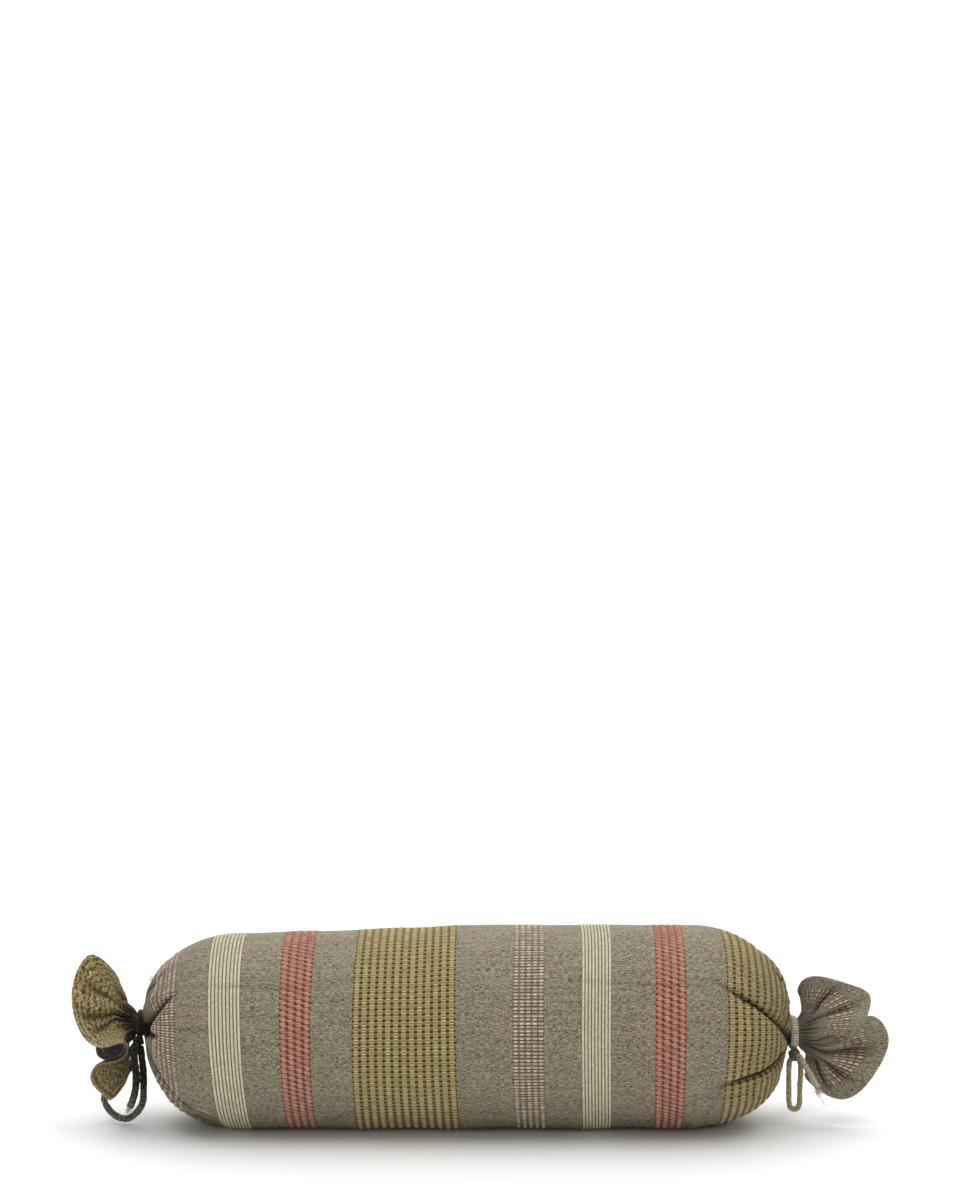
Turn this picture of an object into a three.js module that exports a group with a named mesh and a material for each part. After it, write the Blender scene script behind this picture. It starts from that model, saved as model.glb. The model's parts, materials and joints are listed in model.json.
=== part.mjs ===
// A bolster cushion: a filled roll of striped cloth, gathered and tied at both ends, with the open ends
// of the cloth flaring past the ties as flounces. Millimetres; +X along the bolster, the front faces -Y,
// +Z up, and the origin is the middle of the flat underside.
import * as THREE from "three";
import { mergeVertices } from "three/addons/utils/BufferGeometryUtils.js";

// Driving sizes.
const WIDER = 1.02; // the roll spreads sideways under its own weight
const FLAT_BLEND = 2; // height over which the flat underside rounds into the side
const HEEL = { lift: 1.8, run: 10 }; // how high a dome's underside springs off the surface, and within what length
const CLOTH = 2; // thickness of a flounce, with its turned hem
const SEAT = 0.3; // gap between pieces that touch

// The roll along its length: its radius, and the height of its axis above the surface it lies on.
const GIRTH = [
  { x: -330, radius: 92.6, height: 88.3 },
  { x: -220, radius: 92.8, height: 88.5 },
  { x: -145, radius: 93.8, height: 89.5 },
  { x: -60, radius: 95.2, height: 91 },
  { x: 0, radius: 96.7, height: 92.5 },
  { x: 330, radius: 96.7, height: 92.5 },
];

// Each end: where its dome stops, its neck, and the creases that run into the neck. A crease's turn is its
// angle round the neck (0 front, 90 top), drift how far it turns by its far end, reach its length.
const ENDS = {
  left: {
    side: -1,
    stop: 316,
    dome: 93,
    neckRadius: 8.5,
    neckHeight: 95,
    lean: 0.06, // how far the dome's top stands past its underside
    pleats: 13,
    creases: [
      { turn: 0, drift: 44, reach: 92, depth: 9, width: 7 },
      { turn: -3, drift: 8, reach: 66, depth: 9, width: 5 },
      { turn: -14, drift: -42, reach: 126, depth: 8, width: 6 },
      { turn: -60, drift: -6, reach: 138, depth: 9, width: 7 },
      { turn: 58, drift: 6, reach: 70, depth: 4, width: 6 },
      { turn: 98, drift: 6, reach: 90, depth: 7, width: 7 },
      { turn: 140, drift: -12, reach: 85, depth: 9, width: 7 },
      { turn: 186, drift: 8, reach: 100, depth: 10, width: 7 },
      { turn: 232, drift: -8, reach: 80, depth: 9, width: 7 },
    ],
  },
  right: {
    side: 1,
    stop: 316,
    dome: 100,
    neckRadius: 10.5,
    neckHeight: 86.2,
    lean: 0.16,
    pleats: 14,
    creases: [
      { turn: -5, drift: 43, reach: 130, depth: 8, width: 5 },
      { turn: -16, drift: -9, reach: 132, depth: 8, width: 5 },
      { turn: 58, drift: 6, reach: 66, depth: 7, width: 6 },
      { turn: -88, drift: 0, reach: 90, depth: 6, width: 22 },
      { turn: 100, drift: -8, reach: 95, depth: 8, width: 7 },
      { turn: 148, drift: 12, reach: 110, depth: 10, width: 7 },
      { turn: 196, drift: -9, reach: 88, depth: 9, width: 7 },
      { turn: 240, drift: 6, reach: 100, depth: 9, width: 7 },
    ],
  },
};

// The wrap of each tie round its neck: half its width along the neck, and its thickness.
const WRAPS = {
  left: { half: 2.7, thick: 5.4 },
  right: { half: 3.9, thick: 5.8 },
};

// The flounces past the ties. A row is a point of the hem (out along the bolster, front towards the viewer,
// up), the turn at which its cloth leaves the neck, and curl, which bends the hem back (-) or on (+).
// A fold presses the cloth in along a line from the neck at its turn.
const FLOUNCES = {
  left: {
    slack: 1.08,
    hem: [
      { turn: 92, out: 47, front: 6, up: 70, curl: 0 },
      { turn: 76, out: 56, front: 14, up: 60, curl: 0.1 },
      { turn: 60, out: 61, front: 24, up: 43, curl: 0.2 },
      { turn: 44, out: 60, front: 34, up: 26, curl: 0.2 },
      { turn: 30, out: 53, front: 44, up: 7, curl: 0.1 },
      { turn: 16, out: 41, front: 52, up: -8, curl: -0.2 },
      { turn: 6, out: 25, front: 56, up: -12, curl: -0.5 },
      { turn: -3, out: 12, front: 52, up: -7, curl: -0.6 },
      { turn: -12, out: 5, front: 44, up: -10, curl: -0.6 },
      { turn: -20, out: 7, front: 42, up: -22, curl: -0.3 },
      { turn: -30, out: 18, front: 46, up: -28, curl: 0 },
      { turn: -40, out: 35, front: 37, up: -30, curl: 0.2 },
      { turn: -50, out: 42, front: 40, up: -42, curl: 0.2 },
      { turn: -60, out: 36, front: 44, up: -52, curl: 0 },
      { turn: -72, out: 29, front: 30, up: -63, curl: 0 },
      { turn: -84, out: 26, front: 19, up: -71, curl: 0 },
      { turn: -95, out: 16, front: 14, up: -61, curl: 0 },
      { turn: -105, out: 9, front: 8, up: -47, curl: 0 },
      { turn: -118, out: 19, front: -5, up: -39, curl: 0 },
      { turn: -134, out: 44, front: -26, up: -41, curl: 0.1 },
      { turn: -156, out: 34, front: -54, up: -20, curl: -0.1 },
      { turn: -178, out: 56, front: -56, up: -2, curl: 0.2 },
      { turn: -198, out: 36, front: -56, up: 14, curl: -0.1 },
      { turn: -216, out: 50, front: -42, up: 30, curl: 0.1 },
      { turn: -234, out: 24, front: -26, up: 28, curl: 0 },
      { turn: -247, out: 25, front: -11, up: 45, curl: 0 },
      { turn: -258, out: 36, front: -3, up: 60, curl: 0 },
    ],
    folds: [
      { turn: 36, depth: 4, width: 7, reach: 0.75 },
      { turn: 22, depth: 3, width: 6, reach: 0.6 },
      { turn: 64, depth: 2.5, width: 7, reach: 0.55 },
    ],
  },
  right: {
    slack: 1.06,
    hem: [
      { turn: 126, out: 13, front: -22, up: 32, curl: -0.2 },
      { turn: 112, out: 6, front: -12, up: 38, curl: -0.2 },
      { turn: 97, out: 12, front: -4, up: 53, curl: -0.2 },
      { turn: 82, out: 30, front: 4, up: 55, curl: 0 },
      { turn: 66, out: 52, front: 14, up: 49, curl: 0.1 },
      { turn: 50, out: 72, front: 26, up: 44, curl: 0.2 },
      { turn: 34, out: 66, front: 38, up: 27, curl: 0.1 },
      { turn: 24, out: 59, front: 46, up: 13, curl: 0 },
      { turn: 16, out: 54, front: 43, up: 5, curl: 0 },
      { turn: 8, out: 52, front: 32, up: 4, curl: 0 },
      { turn: -4, out: 60, front: 14, up: 11, curl: 0 },
      { turn: -16, out: 72, front: 0, up: 17, curl: 0 },
      { turn: -25, out: 84, front: 4, up: 14, curl: 0.1 },
      { turn: -31, out: 90, front: 14, up: 2, curl: 0.2 },
      { turn: -37, out: 89, front: 19, up: -10, curl: 0.2 },
      { turn: -43, out: 82, front: 18, up: -27, curl: 0.2 },
      { turn: -56, out: 67, front: 20, up: -48, curl: 0.1 },
      { turn: -69, out: 49, front: 18, up: -62, curl: 0 },
      { turn: -83, out: 30, front: 12, up: -58, curl: 0 },
      { turn: -97, out: 15, front: 3, up: -47, curl: -0.1 },
      { turn: -112, out: 13, front: -14, up: -42, curl: -0.1 },
      { turn: -130, out: 36, front: -38, up: -50, curl: 0 },
      { turn: -149, out: 64, front: -54, up: -37, curl: 0.2 },
      { turn: -168, out: 48, front: -64, up: -24, curl: 0 },
      { turn: -186, out: 72, front: -60, up: -4, curl: 0.1 },
      { turn: -204, out: 46, front: -58, up: 16, curl: -0.1 },
      { turn: -220, out: 27, front: -40, up: 22, curl: 0 },
    ],
    folds: [
      { turn: -38, depth: 4, width: 5, reach: 0.6 },
      { turn: -58, depth: 4.5, width: 5, reach: 0.65 },
      { turn: -78, depth: 3, width: 6, reach: 0.6 },
      { turn: 44, depth: 3, width: 6, reach: 0.6 },
      { turn: 72, depth: 3, width: 6, reach: 0.6 },
    ],
  },
};

// The hanging parts of the ties: each is a sewn tube of the cloth, along the points x, y, z.
const TIES = {
  tie_loop_left: {
    radius: 2.7,
    steps: 40,
    route: [
      [-317.4, -13.8, 75.7], [-316.2, -14.2, 71.9], [-315.2, -14.8, 64], [-313.5, -16.5, 52], [-313, -18, 38],
      [-314, -18, 22], [-320, -17, 12], [-329, -16, 6], [-339, -13, 7], [-349, -7, 13], [-355, 1, 22],
      [-352, 9, 29], [-343, 13, 36], [-333, 12, 46], [-327, 5, 57], [-325.7, -4, 67.5], [-324.6, -10.5, 73.8],
      [-322.2, -11.7, 76.7],
    ],
  },
  tie_tail_left: {
    radius: 3.1,
    steps: 14,
    route: [
      [-320.1, -17.9, 78.2], [-320.9, -21.3, 76.2], [-321, -24, 66], [-319, -24.5, 47], [-321, -24, 31],
      [-325, -24, 19],
    ],
  },
  tie_loop_right: {
    radius: 2.6,
    steps: 34,
    route: [
      [316.9, -12.7, 63.6], [315, -13, 60.1], [314.2, -14.5, 52], [313.7, -17.5, 38], [314, -18, 21],
      [315.5, -17.5, 17], [319, -17, 15.2], [322.5, -17, 17], [324, -17, 21], [324.4, -17.5, 38],
      [325.6, -15.5, 52], [325.1, -13, 60.1], [323.1, -12.7, 63.6],
    ],
  },
  tie_tail_right: {
    radius: 3.1,
    steps: 10,
    route: [[322.8, -16.9, 66.8], [324.7, -20.3, 65.8], [328.5, -25.5, 59], [334, -31, 49], [339, -35, 40]],
  },
};
const TIE_SIDES = 8;
const KNOTS = {
  left: { at: [-319, -13.3, 80.7], size: [10, 10, 10] },
  right: { at: [320, -12.4, 68.1], size: [11, 10, 10] },
};

const RAD = Math.PI / 180;
const clamp = (v, low, high) => Math.min(high, Math.max(low, v));
const smooth = (v) => clamp(v, 0, 1) ** 2 * (3 - 2 * clamp(v, 0, 1));
const mix = (a, b, share) => a + (b - a) * share;
const dip = (away, width) => Math.exp(-(Math.abs(away / width) ** 1.5));
const turnBetween = (a, b) => ((((a - b) % 360) + 540) % 360) - 180;

// A column of the girth table at a place along the roll.
function girth(column, x) {
  const next = clamp(GIRTH.findIndex((row) => row.x >= x), 1, GIRTH.length - 1);
  const [low, high] = [GIRTH[next - 1], GIRTH[next]];
  return mix(low[column], high[column], smooth((x - low.x) / (high.x - low.x)));
}

// The same surface with its faces turned, if they point inwards.
function facingOut(geometry) {
  const [p, index] = [geometry.getAttribute("position"), geometry.index.array];
  const corner = (i) => new THREE.Vector3().fromBufferAttribute(p, index[i]);
  let volume = 0;
  for (let i = 0; i < index.length; i += 3) volume += corner(i).dot(corner(i + 1).cross(corner(i + 2)));
  if (volume < 0) {
    for (let i = 0; i < index.length; i += 3) [index[i + 1], index[i + 2]] = [index[i + 2], index[i + 1]];
  }
  geometry.computeVertexNormals();
  return geometry;
}

// A closed surface from rings of points, with a fan over the first and the last ring.
function closedSurface(rings, firstPole, lastPole) {
  const count = rings[0].length;
  const last = rings.length - 1;
  const points = [firstPole, ...rings.flat(), lastPole];
  const at = (ring, k) => 1 + ring * count + (k % count);
  const faces = [];
  for (let k = 0; k < count; k++) {
    faces.push(0, at(0, k + 1), at(0, k));
    for (let ring = 0; ring < last; ring++) {
      faces.push(at(ring, k), at(ring, k + 1), at(ring + 1, k));
      faces.push(at(ring, k + 1), at(ring + 1, k + 1), at(ring + 1, k));
    }
    faces.push(points.length - 1, at(last, k), at(last, k + 1));
  }
  return facingOut(new THREE.BufferGeometry().setFromPoints(points).setIndex(faces));
}

// The filled roll: a barrel between two domes, each drawn in to its neck.
const ROLL_SIDES = 84;
const FRONT_CLOSER = 18; // degrees by which the columns crowd towards the creases of the front
const DOME_RINGS = 13;
const BARREL_RINGS = 17;
const DOME_ARC = 1.11; // arc length of the dome's quarter over its chord
const PLEAT = { depth: 1.8, reach: 60 };

// How far creases and small pleats draw the cloth in, at a place on an end's dome.
function drawnIn(end, fromNeck, radius, turn) {
  let depth = 0;
  for (const crease of end.creases) {
    const line = crease.turn + crease.drift * (fromNeck / crease.reach);
    const away = turnBetween(turn, line) * RAD * radius;
    const along = 1 - smooth((fromNeck / crease.reach - 0.35) / 0.65);
    depth += crease.depth * along * smooth(fromNeck / 26) * dip(away, crease.width);
  }
  const wave = turn * RAD * end.pleats + 2 * Math.sin(turn * RAD * 3 + end.dome);
  const fade = smooth(fromNeck / 14) * (1 - smooth(fromNeck / PLEAT.reach));
  return depth + PLEAT.depth * fade * (1 - Math.abs(Math.sin(wave / 2)));
}

// A point at a radius and a turn round the roll's axis, settled on the surface below.
function rollPoint(x, radius, turn, height) {
  const z = height + radius * Math.sin(turn * RAD);
  const blend = (z + FLAT_BLEND) ** 2 / (4 * FLAT_BLEND);
  const settled = z < -FLAT_BLEND ? 0 : z > FLAT_BLEND ? z : blend;
  return new THREE.Vector3(x, -radius * WIDER * Math.cos(turn * RAD), settled);
}

// A point on the dome of one end: swing is 0 at the neck and 90 where the dome meets the barrel.
function domePoint(end, swing, turn) {
  const barrelEnd = end.side * (end.stop - end.dome);
  const rise = girth("radius", barrelEnd) - end.neckRadius;
  const [s, c] = [Math.sin(swing * RAD), Math.cos(swing * RAD)];
  const across = new THREE.Vector2(rise * c, end.dome * s).normalize();
  const fromNeck = (swing / 90) * Math.hypot(end.dome, rise) * DOME_ARC;
  const radius = end.neckRadius + rise * s;
  const depth = drawnIn(end, fromNeck, radius, turn);
  const leaning = end.lean * radius * Math.sin(turn * RAD) * (1 - smooth(s)) * smooth(swing / 4);
  const out = end.dome * c + leaning - across.x * depth;
  const height = mix(end.neckHeight, girth("height", barrelEnd), smooth(s));
  const point = rollPoint(barrelEnd + end.side * out, radius - across.y * depth, turn, height);
  const under = (1 - Math.sin(turn * RAD)) / 2;
  point.z += HEEL.lift * smooth((end.dome * c) / HEEL.run) * under * smooth(s);
  return point;
}

function roll() {
  const turns = Array.from({ length: ROLL_SIDES }, (_, k) => {
    const even = (k * 360) / ROLL_SIDES;
    return even - FRONT_CLOSER * Math.sin(even * RAD);
  });
  const neck = (end, wrap) => {
    const x = end.side * (end.stop + wrap.half);
    return turns.map((turn) => rollPoint(x, end.neckRadius, turn, end.neckHeight));
  };
  const dome = (end) =>
    Array.from({ length: DOME_RINGS }, (_, k) =>
      turns.map((turn) => domePoint(end, 90 * (k / DOME_RINGS) ** 0.9, turn)),
    );
  const [from, to] = [-ENDS.left.stop + ENDS.left.dome, ENDS.right.stop - ENDS.right.dome];
  const barrel = Array.from({ length: BARREL_RINGS + 1 }, (_, k) => {
    const x = mix(from, to, k / BARREL_RINGS);
    return turns.map((turn) => rollPoint(x, girth("radius", x), turn, girth("height", x)));
  });
  const [left, right] = [neck(ENDS.left, WRAPS.left), neck(ENDS.right, WRAPS.right)];
  const rings = [left, ...dome(ENDS.left), ...barrel, ...dome(ENDS.right).reverse(), right];
  const pole = (end, ring) => new THREE.Vector3(ring[0].x, 0, end.neckHeight);
  return closedSurface(rings, pole(ENDS.left, left), pole(ENDS.right, right));
}

// The flounces: a thin cup whose wall runs from the neck to the hem.
const HEM_SIDES = 88;
const WALL_RINGS = 8;
const PACKED = 2; // wall rings next to the neck between which the gathered cloth is solid
const SETTLING = 8; // passes that even out neighbouring lines of cloth
const HEM_SETTLING = 4; // the first of those passes, which even out the hem too
const GATHER = { depth: 1.2, folds: 22, fade: 0.5 };

// Periodic smooth interpolation of a hem table at a share of the way round.
function hemAt(rows, share) {
  const place = share * rows.length;
  const [k, t] = [Math.floor(place), place - Math.floor(place)];
  const row = (i) => rows[(i + rows.length) % rows.length];
  const blend = (a, b, c, d) =>
    0.5 * (2 * b + (c - a) * t + (2 * a - 5 * b + 4 * c - d) * t ** 2 + (3 * b - a - 3 * c + d) * t ** 3);
  const near = [k - 1, k, k + 1, k + 2];
  const column = (name) => blend(...near.map((i) => row(i)[name]));
  return {
    turn: blend(...near.map((i) => row(i).turn - 360 * Math.floor(i / rows.length))),
    hem: new THREE.Vector3(column("out"), column("front"), column("up")),
    curl: column("curl"),
  };
}

// The path of the cloth from the neck to the hem, in out, front, up. Slack makes it longer than the straight line.
function clothPath({ hem: rows, slack }, neck, share) {
  const { turn, hem, curl } = hemAt(rows, share);
  const away = new THREE.Vector3(0, Math.cos(turn * RAD), Math.sin(turn * RAD));
  const start = away.clone().multiplyScalar(neck.radius).setX(neck.stub);
  const leave = new THREE.Vector3(0.75, 0, 0).addScaledVector(away, 0.65);
  const arrive = hem.clone().sub(start).normalize().add(new THREE.Vector3(curl, 0, 0)).normalize();
  const wanted = hem.distanceTo(start) * slack;
  const curveOf = (pull) =>
    new THREE.CubicBezierCurve3(
      start,
      start.clone().addScaledVector(leave, pull * 0.8),
      hem.clone().addScaledVector(arrive, -pull),
      hem,
    );
  let [low, high] = [2, 60];
  for (let i = 0; i < 12; i++) {
    const middle = (low + high) / 2;
    if (curveOf(middle).getLength() < wanted) low = middle;
    else high = middle;
  }
  return { turn, path: curveOf(low) };
}

function flounce(end, wrap, shape) {
  const neck = { radius: end.neckRadius, stub: wrap.half + SEAT };
  const paths = Array.from({ length: HEM_SIDES }, (_, k) => clothPath(shape, neck, k / HEM_SIDES));
  let lines = paths.map(({ path }) => path.getSpacedPoints(WALL_RINGS));
  const at = (k, ring) => lines[(k + HEM_SIDES) % HEM_SIDES][clamp(ring, 0, WALL_RINGS)];
  for (let pass = 0; pass < SETTLING; pass++) {
    const last = pass < HEM_SETTLING ? WALL_RINGS : WALL_RINGS - 1;
    const settled = (point, k, ring) => {
      const between = at(k - 1, ring).clone().add(at(k + 1, ring)).multiplyScalar(0.5);
      return ring === 0 || ring > last ? point : point.clone().lerp(between, 0.5);
    };
    lines = lines.map((line, k) => line.map((point, ring) => settled(point, k, ring)));
  }
  const normalAt = (k, ring) => {
    const onward = at(k, ring + 1).clone().sub(at(k, ring - 1));
    return onward.cross(at(k + 1, ring).clone().sub(at(k - 1, ring))).normalize();
  };
  const pressed = (k, ring) => {
    const along = ring / WALL_RINGS;
    const gather = GATHER.depth * smooth(along * 6) * (1 - smooth(along / GATHER.fade));
    let depth = gather * Math.cos((k / HEM_SIDES) * GATHER.folds * 2 * Math.PI);
    for (const fold of shape.folds) {
      const fade = smooth(along * 5) * (1 - smooth((along - fold.reach) / (1 - fold.reach)));
      depth += fold.depth * fade * dip(turnBetween(paths[k].turn, fold.turn), fold.width);
    }
    return depth;
  };
  const wall = (ring, side) =>
    lines.map((line, k) => line[ring].clone().addScaledVector(normalAt(k, ring), side - pressed(k, ring)));
  const rings = [lines.map((line) => line[0].clone().setX(0))];
  for (let ring = 0; ring <= WALL_RINGS; ring++) rings.push(wall(ring, ring ? CLOTH / 2 : 0));
  for (let ring = WALL_RINGS; ring >= PACKED; ring--) rings.push(wall(ring, -CLOTH / 2));
  const floor = rings[rings.length - 1];
  const middle = floor.reduce((sum, point) => sum.add(point), new THREE.Vector3()).divideScalar(HEM_SIDES);
  const cup = closedSurface(rings, new THREE.Vector3(0, 0, 0), middle);
  const start = end.side * (end.stop + wrap.half + SEAT);
  const place = new THREE.Matrix4().set(
    end.side, 0, 0, start,
    0, -1, 0, 0,
    0, 0, 1, end.neckHeight,
    0, 0, 0, 1,
  );
  return facingOut(cup.applyMatrix4(place));
}

// The tie's turn round the neck, an oval ring.
const RING_SIDES = 30;
const OVAL_SIDES = 10;

function wrapRing(end, { half, thick }) {
  const middle = end.neckRadius + SEAT + thick / 2;
  const oval = Array.from({ length: OVAL_SIDES + 1 }, (_, k) => {
    const angle = (k / OVAL_SIDES) * 2 * Math.PI;
    return new THREE.Vector2(middle + (thick / 2) * Math.cos(angle), half * Math.sin(angle));
  });
  const ring = new THREE.LatheGeometry(oval, RING_SIDES).rotateZ(Math.PI / 2);
  return solid(ring.translate(end.side * (end.stop + SEAT + half), 0, end.neckHeight));
}

// A closed solid from one of three's own shapes.
function solid(geometry) {
  geometry.deleteAttribute("normal");
  geometry.deleteAttribute("uv");
  return facingOut(mergeVertices(geometry, 1e-4));
}

function knot({ at, size }) {
  const lump = new THREE.SphereGeometry(0.5, 12, 9).scale(...size);
  return solid(lump.translate(...at));
}

function tie({ radius, steps, route }) {
  const path = new THREE.CatmullRomCurve3(route.map((point) => new THREE.Vector3(...point)));
  const round = new THREE.Shape(
    Array.from({ length: TIE_SIDES }, (_, k) => {
      const angle = (k / TIE_SIDES) * 2 * Math.PI;
      return new THREE.Vector2(radius * Math.cos(angle), radius * Math.sin(angle));
    }),
  );
  return solid(new THREE.ExtrudeGeometry(round, { steps, extrudePath: path, bevelEnabled: false }));
}

const clothOf = (color) => new THREE.MeshStandardMaterial({ color, roughness: 0.95, metalness: 0 });
const STRIPED = clothOf(0x877d6a);
const OLIVE = clothOf(0x8d7c54);
const DARK_TIE = clothOf(0x4c4a42);

function piece(name, geometry, material) {
  const mesh = new THREE.Mesh(geometry, material);
  mesh.name = name;
  return mesh;
}

const bolster = new THREE.Group();
bolster.add(piece("roll", roll(), STRIPED));
bolster.add(piece("flounce_left", flounce(ENDS.left, WRAPS.left, FLOUNCES.left), OLIVE));
bolster.add(piece("flounce_right", flounce(ENDS.right, WRAPS.right, FLOUNCES.right), STRIPED));
bolster.add(piece("tie_wrap_left", wrapRing(ENDS.left, WRAPS.left), DARK_TIE));
bolster.add(piece("tie_wrap_right", wrapRing(ENDS.right, WRAPS.right), STRIPED));
bolster.add(piece("tie_knot_left", knot(KNOTS.left), DARK_TIE));
bolster.add(piece("tie_knot_right", knot(KNOTS.right), OLIVE));
for (const [name, strand] of Object.entries(TIES)) {
  bolster.add(piece(name, tie(strand), name.endsWith("right") ? OLIVE : DARK_TIE));
}

export default bolster;
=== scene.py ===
# A bolster cushion: a filled roll of striped woven cloth, gathered and tied at both ends, with the open
# ends of the cloth flaring past the ties as flounces. Metres; +X along the bolster, the front faces -Y,
# +Z up, and the origin is the middle of the flat underside.
import json
import math

import bpy
import numpy as np
from bpy.props import FloatProperty, FloatVectorProperty, IntProperty, PointerProperty
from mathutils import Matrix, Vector

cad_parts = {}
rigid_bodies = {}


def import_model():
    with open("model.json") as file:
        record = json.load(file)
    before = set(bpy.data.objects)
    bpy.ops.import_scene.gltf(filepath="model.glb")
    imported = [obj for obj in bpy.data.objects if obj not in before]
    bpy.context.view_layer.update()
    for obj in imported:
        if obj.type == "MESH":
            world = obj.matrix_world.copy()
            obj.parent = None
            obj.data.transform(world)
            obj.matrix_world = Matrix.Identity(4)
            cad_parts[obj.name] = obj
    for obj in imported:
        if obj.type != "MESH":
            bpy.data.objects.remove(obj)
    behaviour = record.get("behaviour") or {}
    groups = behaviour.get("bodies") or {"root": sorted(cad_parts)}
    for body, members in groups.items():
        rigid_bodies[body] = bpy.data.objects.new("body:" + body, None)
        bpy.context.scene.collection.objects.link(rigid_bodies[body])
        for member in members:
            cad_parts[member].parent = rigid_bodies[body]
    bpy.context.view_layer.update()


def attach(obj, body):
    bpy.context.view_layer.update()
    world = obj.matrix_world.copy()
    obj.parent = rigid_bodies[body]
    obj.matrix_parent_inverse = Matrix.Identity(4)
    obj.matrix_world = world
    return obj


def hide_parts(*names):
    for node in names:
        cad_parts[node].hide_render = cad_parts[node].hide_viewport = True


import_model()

bl_info = {
    "name": "Tied Bolster Cushion",
    "version": (1, 0, 0),
    "blender": (4, 5, 0),
    "location": "View3D > Sidebar > Bolster",
    "description": "Makes a striped bolster cushion with gathered and tied ends",
    "category": "Add Mesh",
}

BODY = "root"

# The roll along its length: its radius, and the height of its axis above the surface it lies on.
GIRTH = (
    {"x": -0.330, "radius": 0.0926, "height": 0.0883},
    {"x": -0.220, "radius": 0.0928, "height": 0.0885},
    {"x": -0.145, "radius": 0.0938, "height": 0.0895},
    {"x": -0.060, "radius": 0.0952, "height": 0.0910},
    {"x": 0.000, "radius": 0.0967, "height": 0.0925},
    {"x": 0.330, "radius": 0.0967, "height": 0.0925},
)
WIDER = 1.02  # the roll spreads sideways under its own weight
FLAT_BLEND = 0.002  # height over which the flat underside rounds into the side
DOME_ARC = 1.11  # arc length of a dome's quarter over its chord
DIP_POWER = 1.5  # how sharp the bottom of a crease is
ROUND = 0.606  # the cloth's girth, which the weave's rows divide evenly
MILLIMETRES = 1000.0

# Each end: where its dome stops, its neck, and the creases that run into the neck. A crease's turn is its
# angle round the neck (0 front, 90 top), drift how far it turns by its far end, reach its length.
ENDS = {
    "left": {
        "side": -1,
        "stop": 0.316,
        "dome": 0.093,
        "neck_radius": 0.0085,
        "neck_height": 0.095,
        "lean": 0.06,
        "unlit": 0.24,
        "pleats": 13,
        "creases": (
            {"turn": 0, "drift": 38, "reach": 0.090, "depth": 0.009, "width": 0.007},
            {"turn": -3, "drift": 8, "reach": 0.066, "depth": 0.009, "width": 0.005},
            {"turn": -14, "drift": -42, "reach": 0.126, "depth": 0.008, "width": 0.006},
            {"turn": -60, "drift": -6, "reach": 0.138, "depth": 0.009, "width": 0.007},
            {"turn": 58, "drift": 6, "reach": 0.070, "depth": 0.004, "width": 0.006},
            {"turn": 98, "drift": 6, "reach": 0.090, "depth": 0.007, "width": 0.007},
            {"turn": 140, "drift": -12, "reach": 0.085, "depth": 0.009, "width": 0.007},
            {"turn": 186, "drift": 8, "reach": 0.100, "depth": 0.010, "width": 0.007},
            {"turn": 232, "drift": -8, "reach": 0.080, "depth": 0.009, "width": 0.007},
        ),
    },
    "right": {
        "side": 1,
        "stop": 0.316,
        "dome": 0.100,
        "neck_radius": 0.0105,
        "neck_height": 0.0862,
        "lean": 0.16,
        "unlit": 0.38,
        "pleats": 14,
        "creases": (
            {"turn": -5, "drift": 43, "reach": 0.130, "depth": 0.008, "width": 0.005},
            {"turn": -16, "drift": -9, "reach": 0.132, "depth": 0.008, "width": 0.005},
            {"turn": 58, "drift": 6, "reach": 0.066, "depth": 0.007, "width": 0.006},
            {"turn": -88, "drift": 0, "reach": 0.090, "depth": 0.006, "width": 0.022},
            {"turn": 100, "drift": -8, "reach": 0.095, "depth": 0.008, "width": 0.007},
            {"turn": 148, "drift": 12, "reach": 0.110, "depth": 0.010, "width": 0.007},
            {"turn": 196, "drift": -9, "reach": 0.088, "depth": 0.009, "width": 0.007},
            {"turn": 240, "drift": 6, "reach": 0.100, "depth": 0.009, "width": 0.007},
        ),
    },
}

# The wrap of each tie round its neck: half its width along the neck, and its thickness.
WRAPS = {
    "left": {"half": 0.0027, "thick": 0.0054},
    "right": {"half": 0.0039, "thick": 0.0058},
}
SEAT = 0.0003  # gap between pieces that touch

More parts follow.
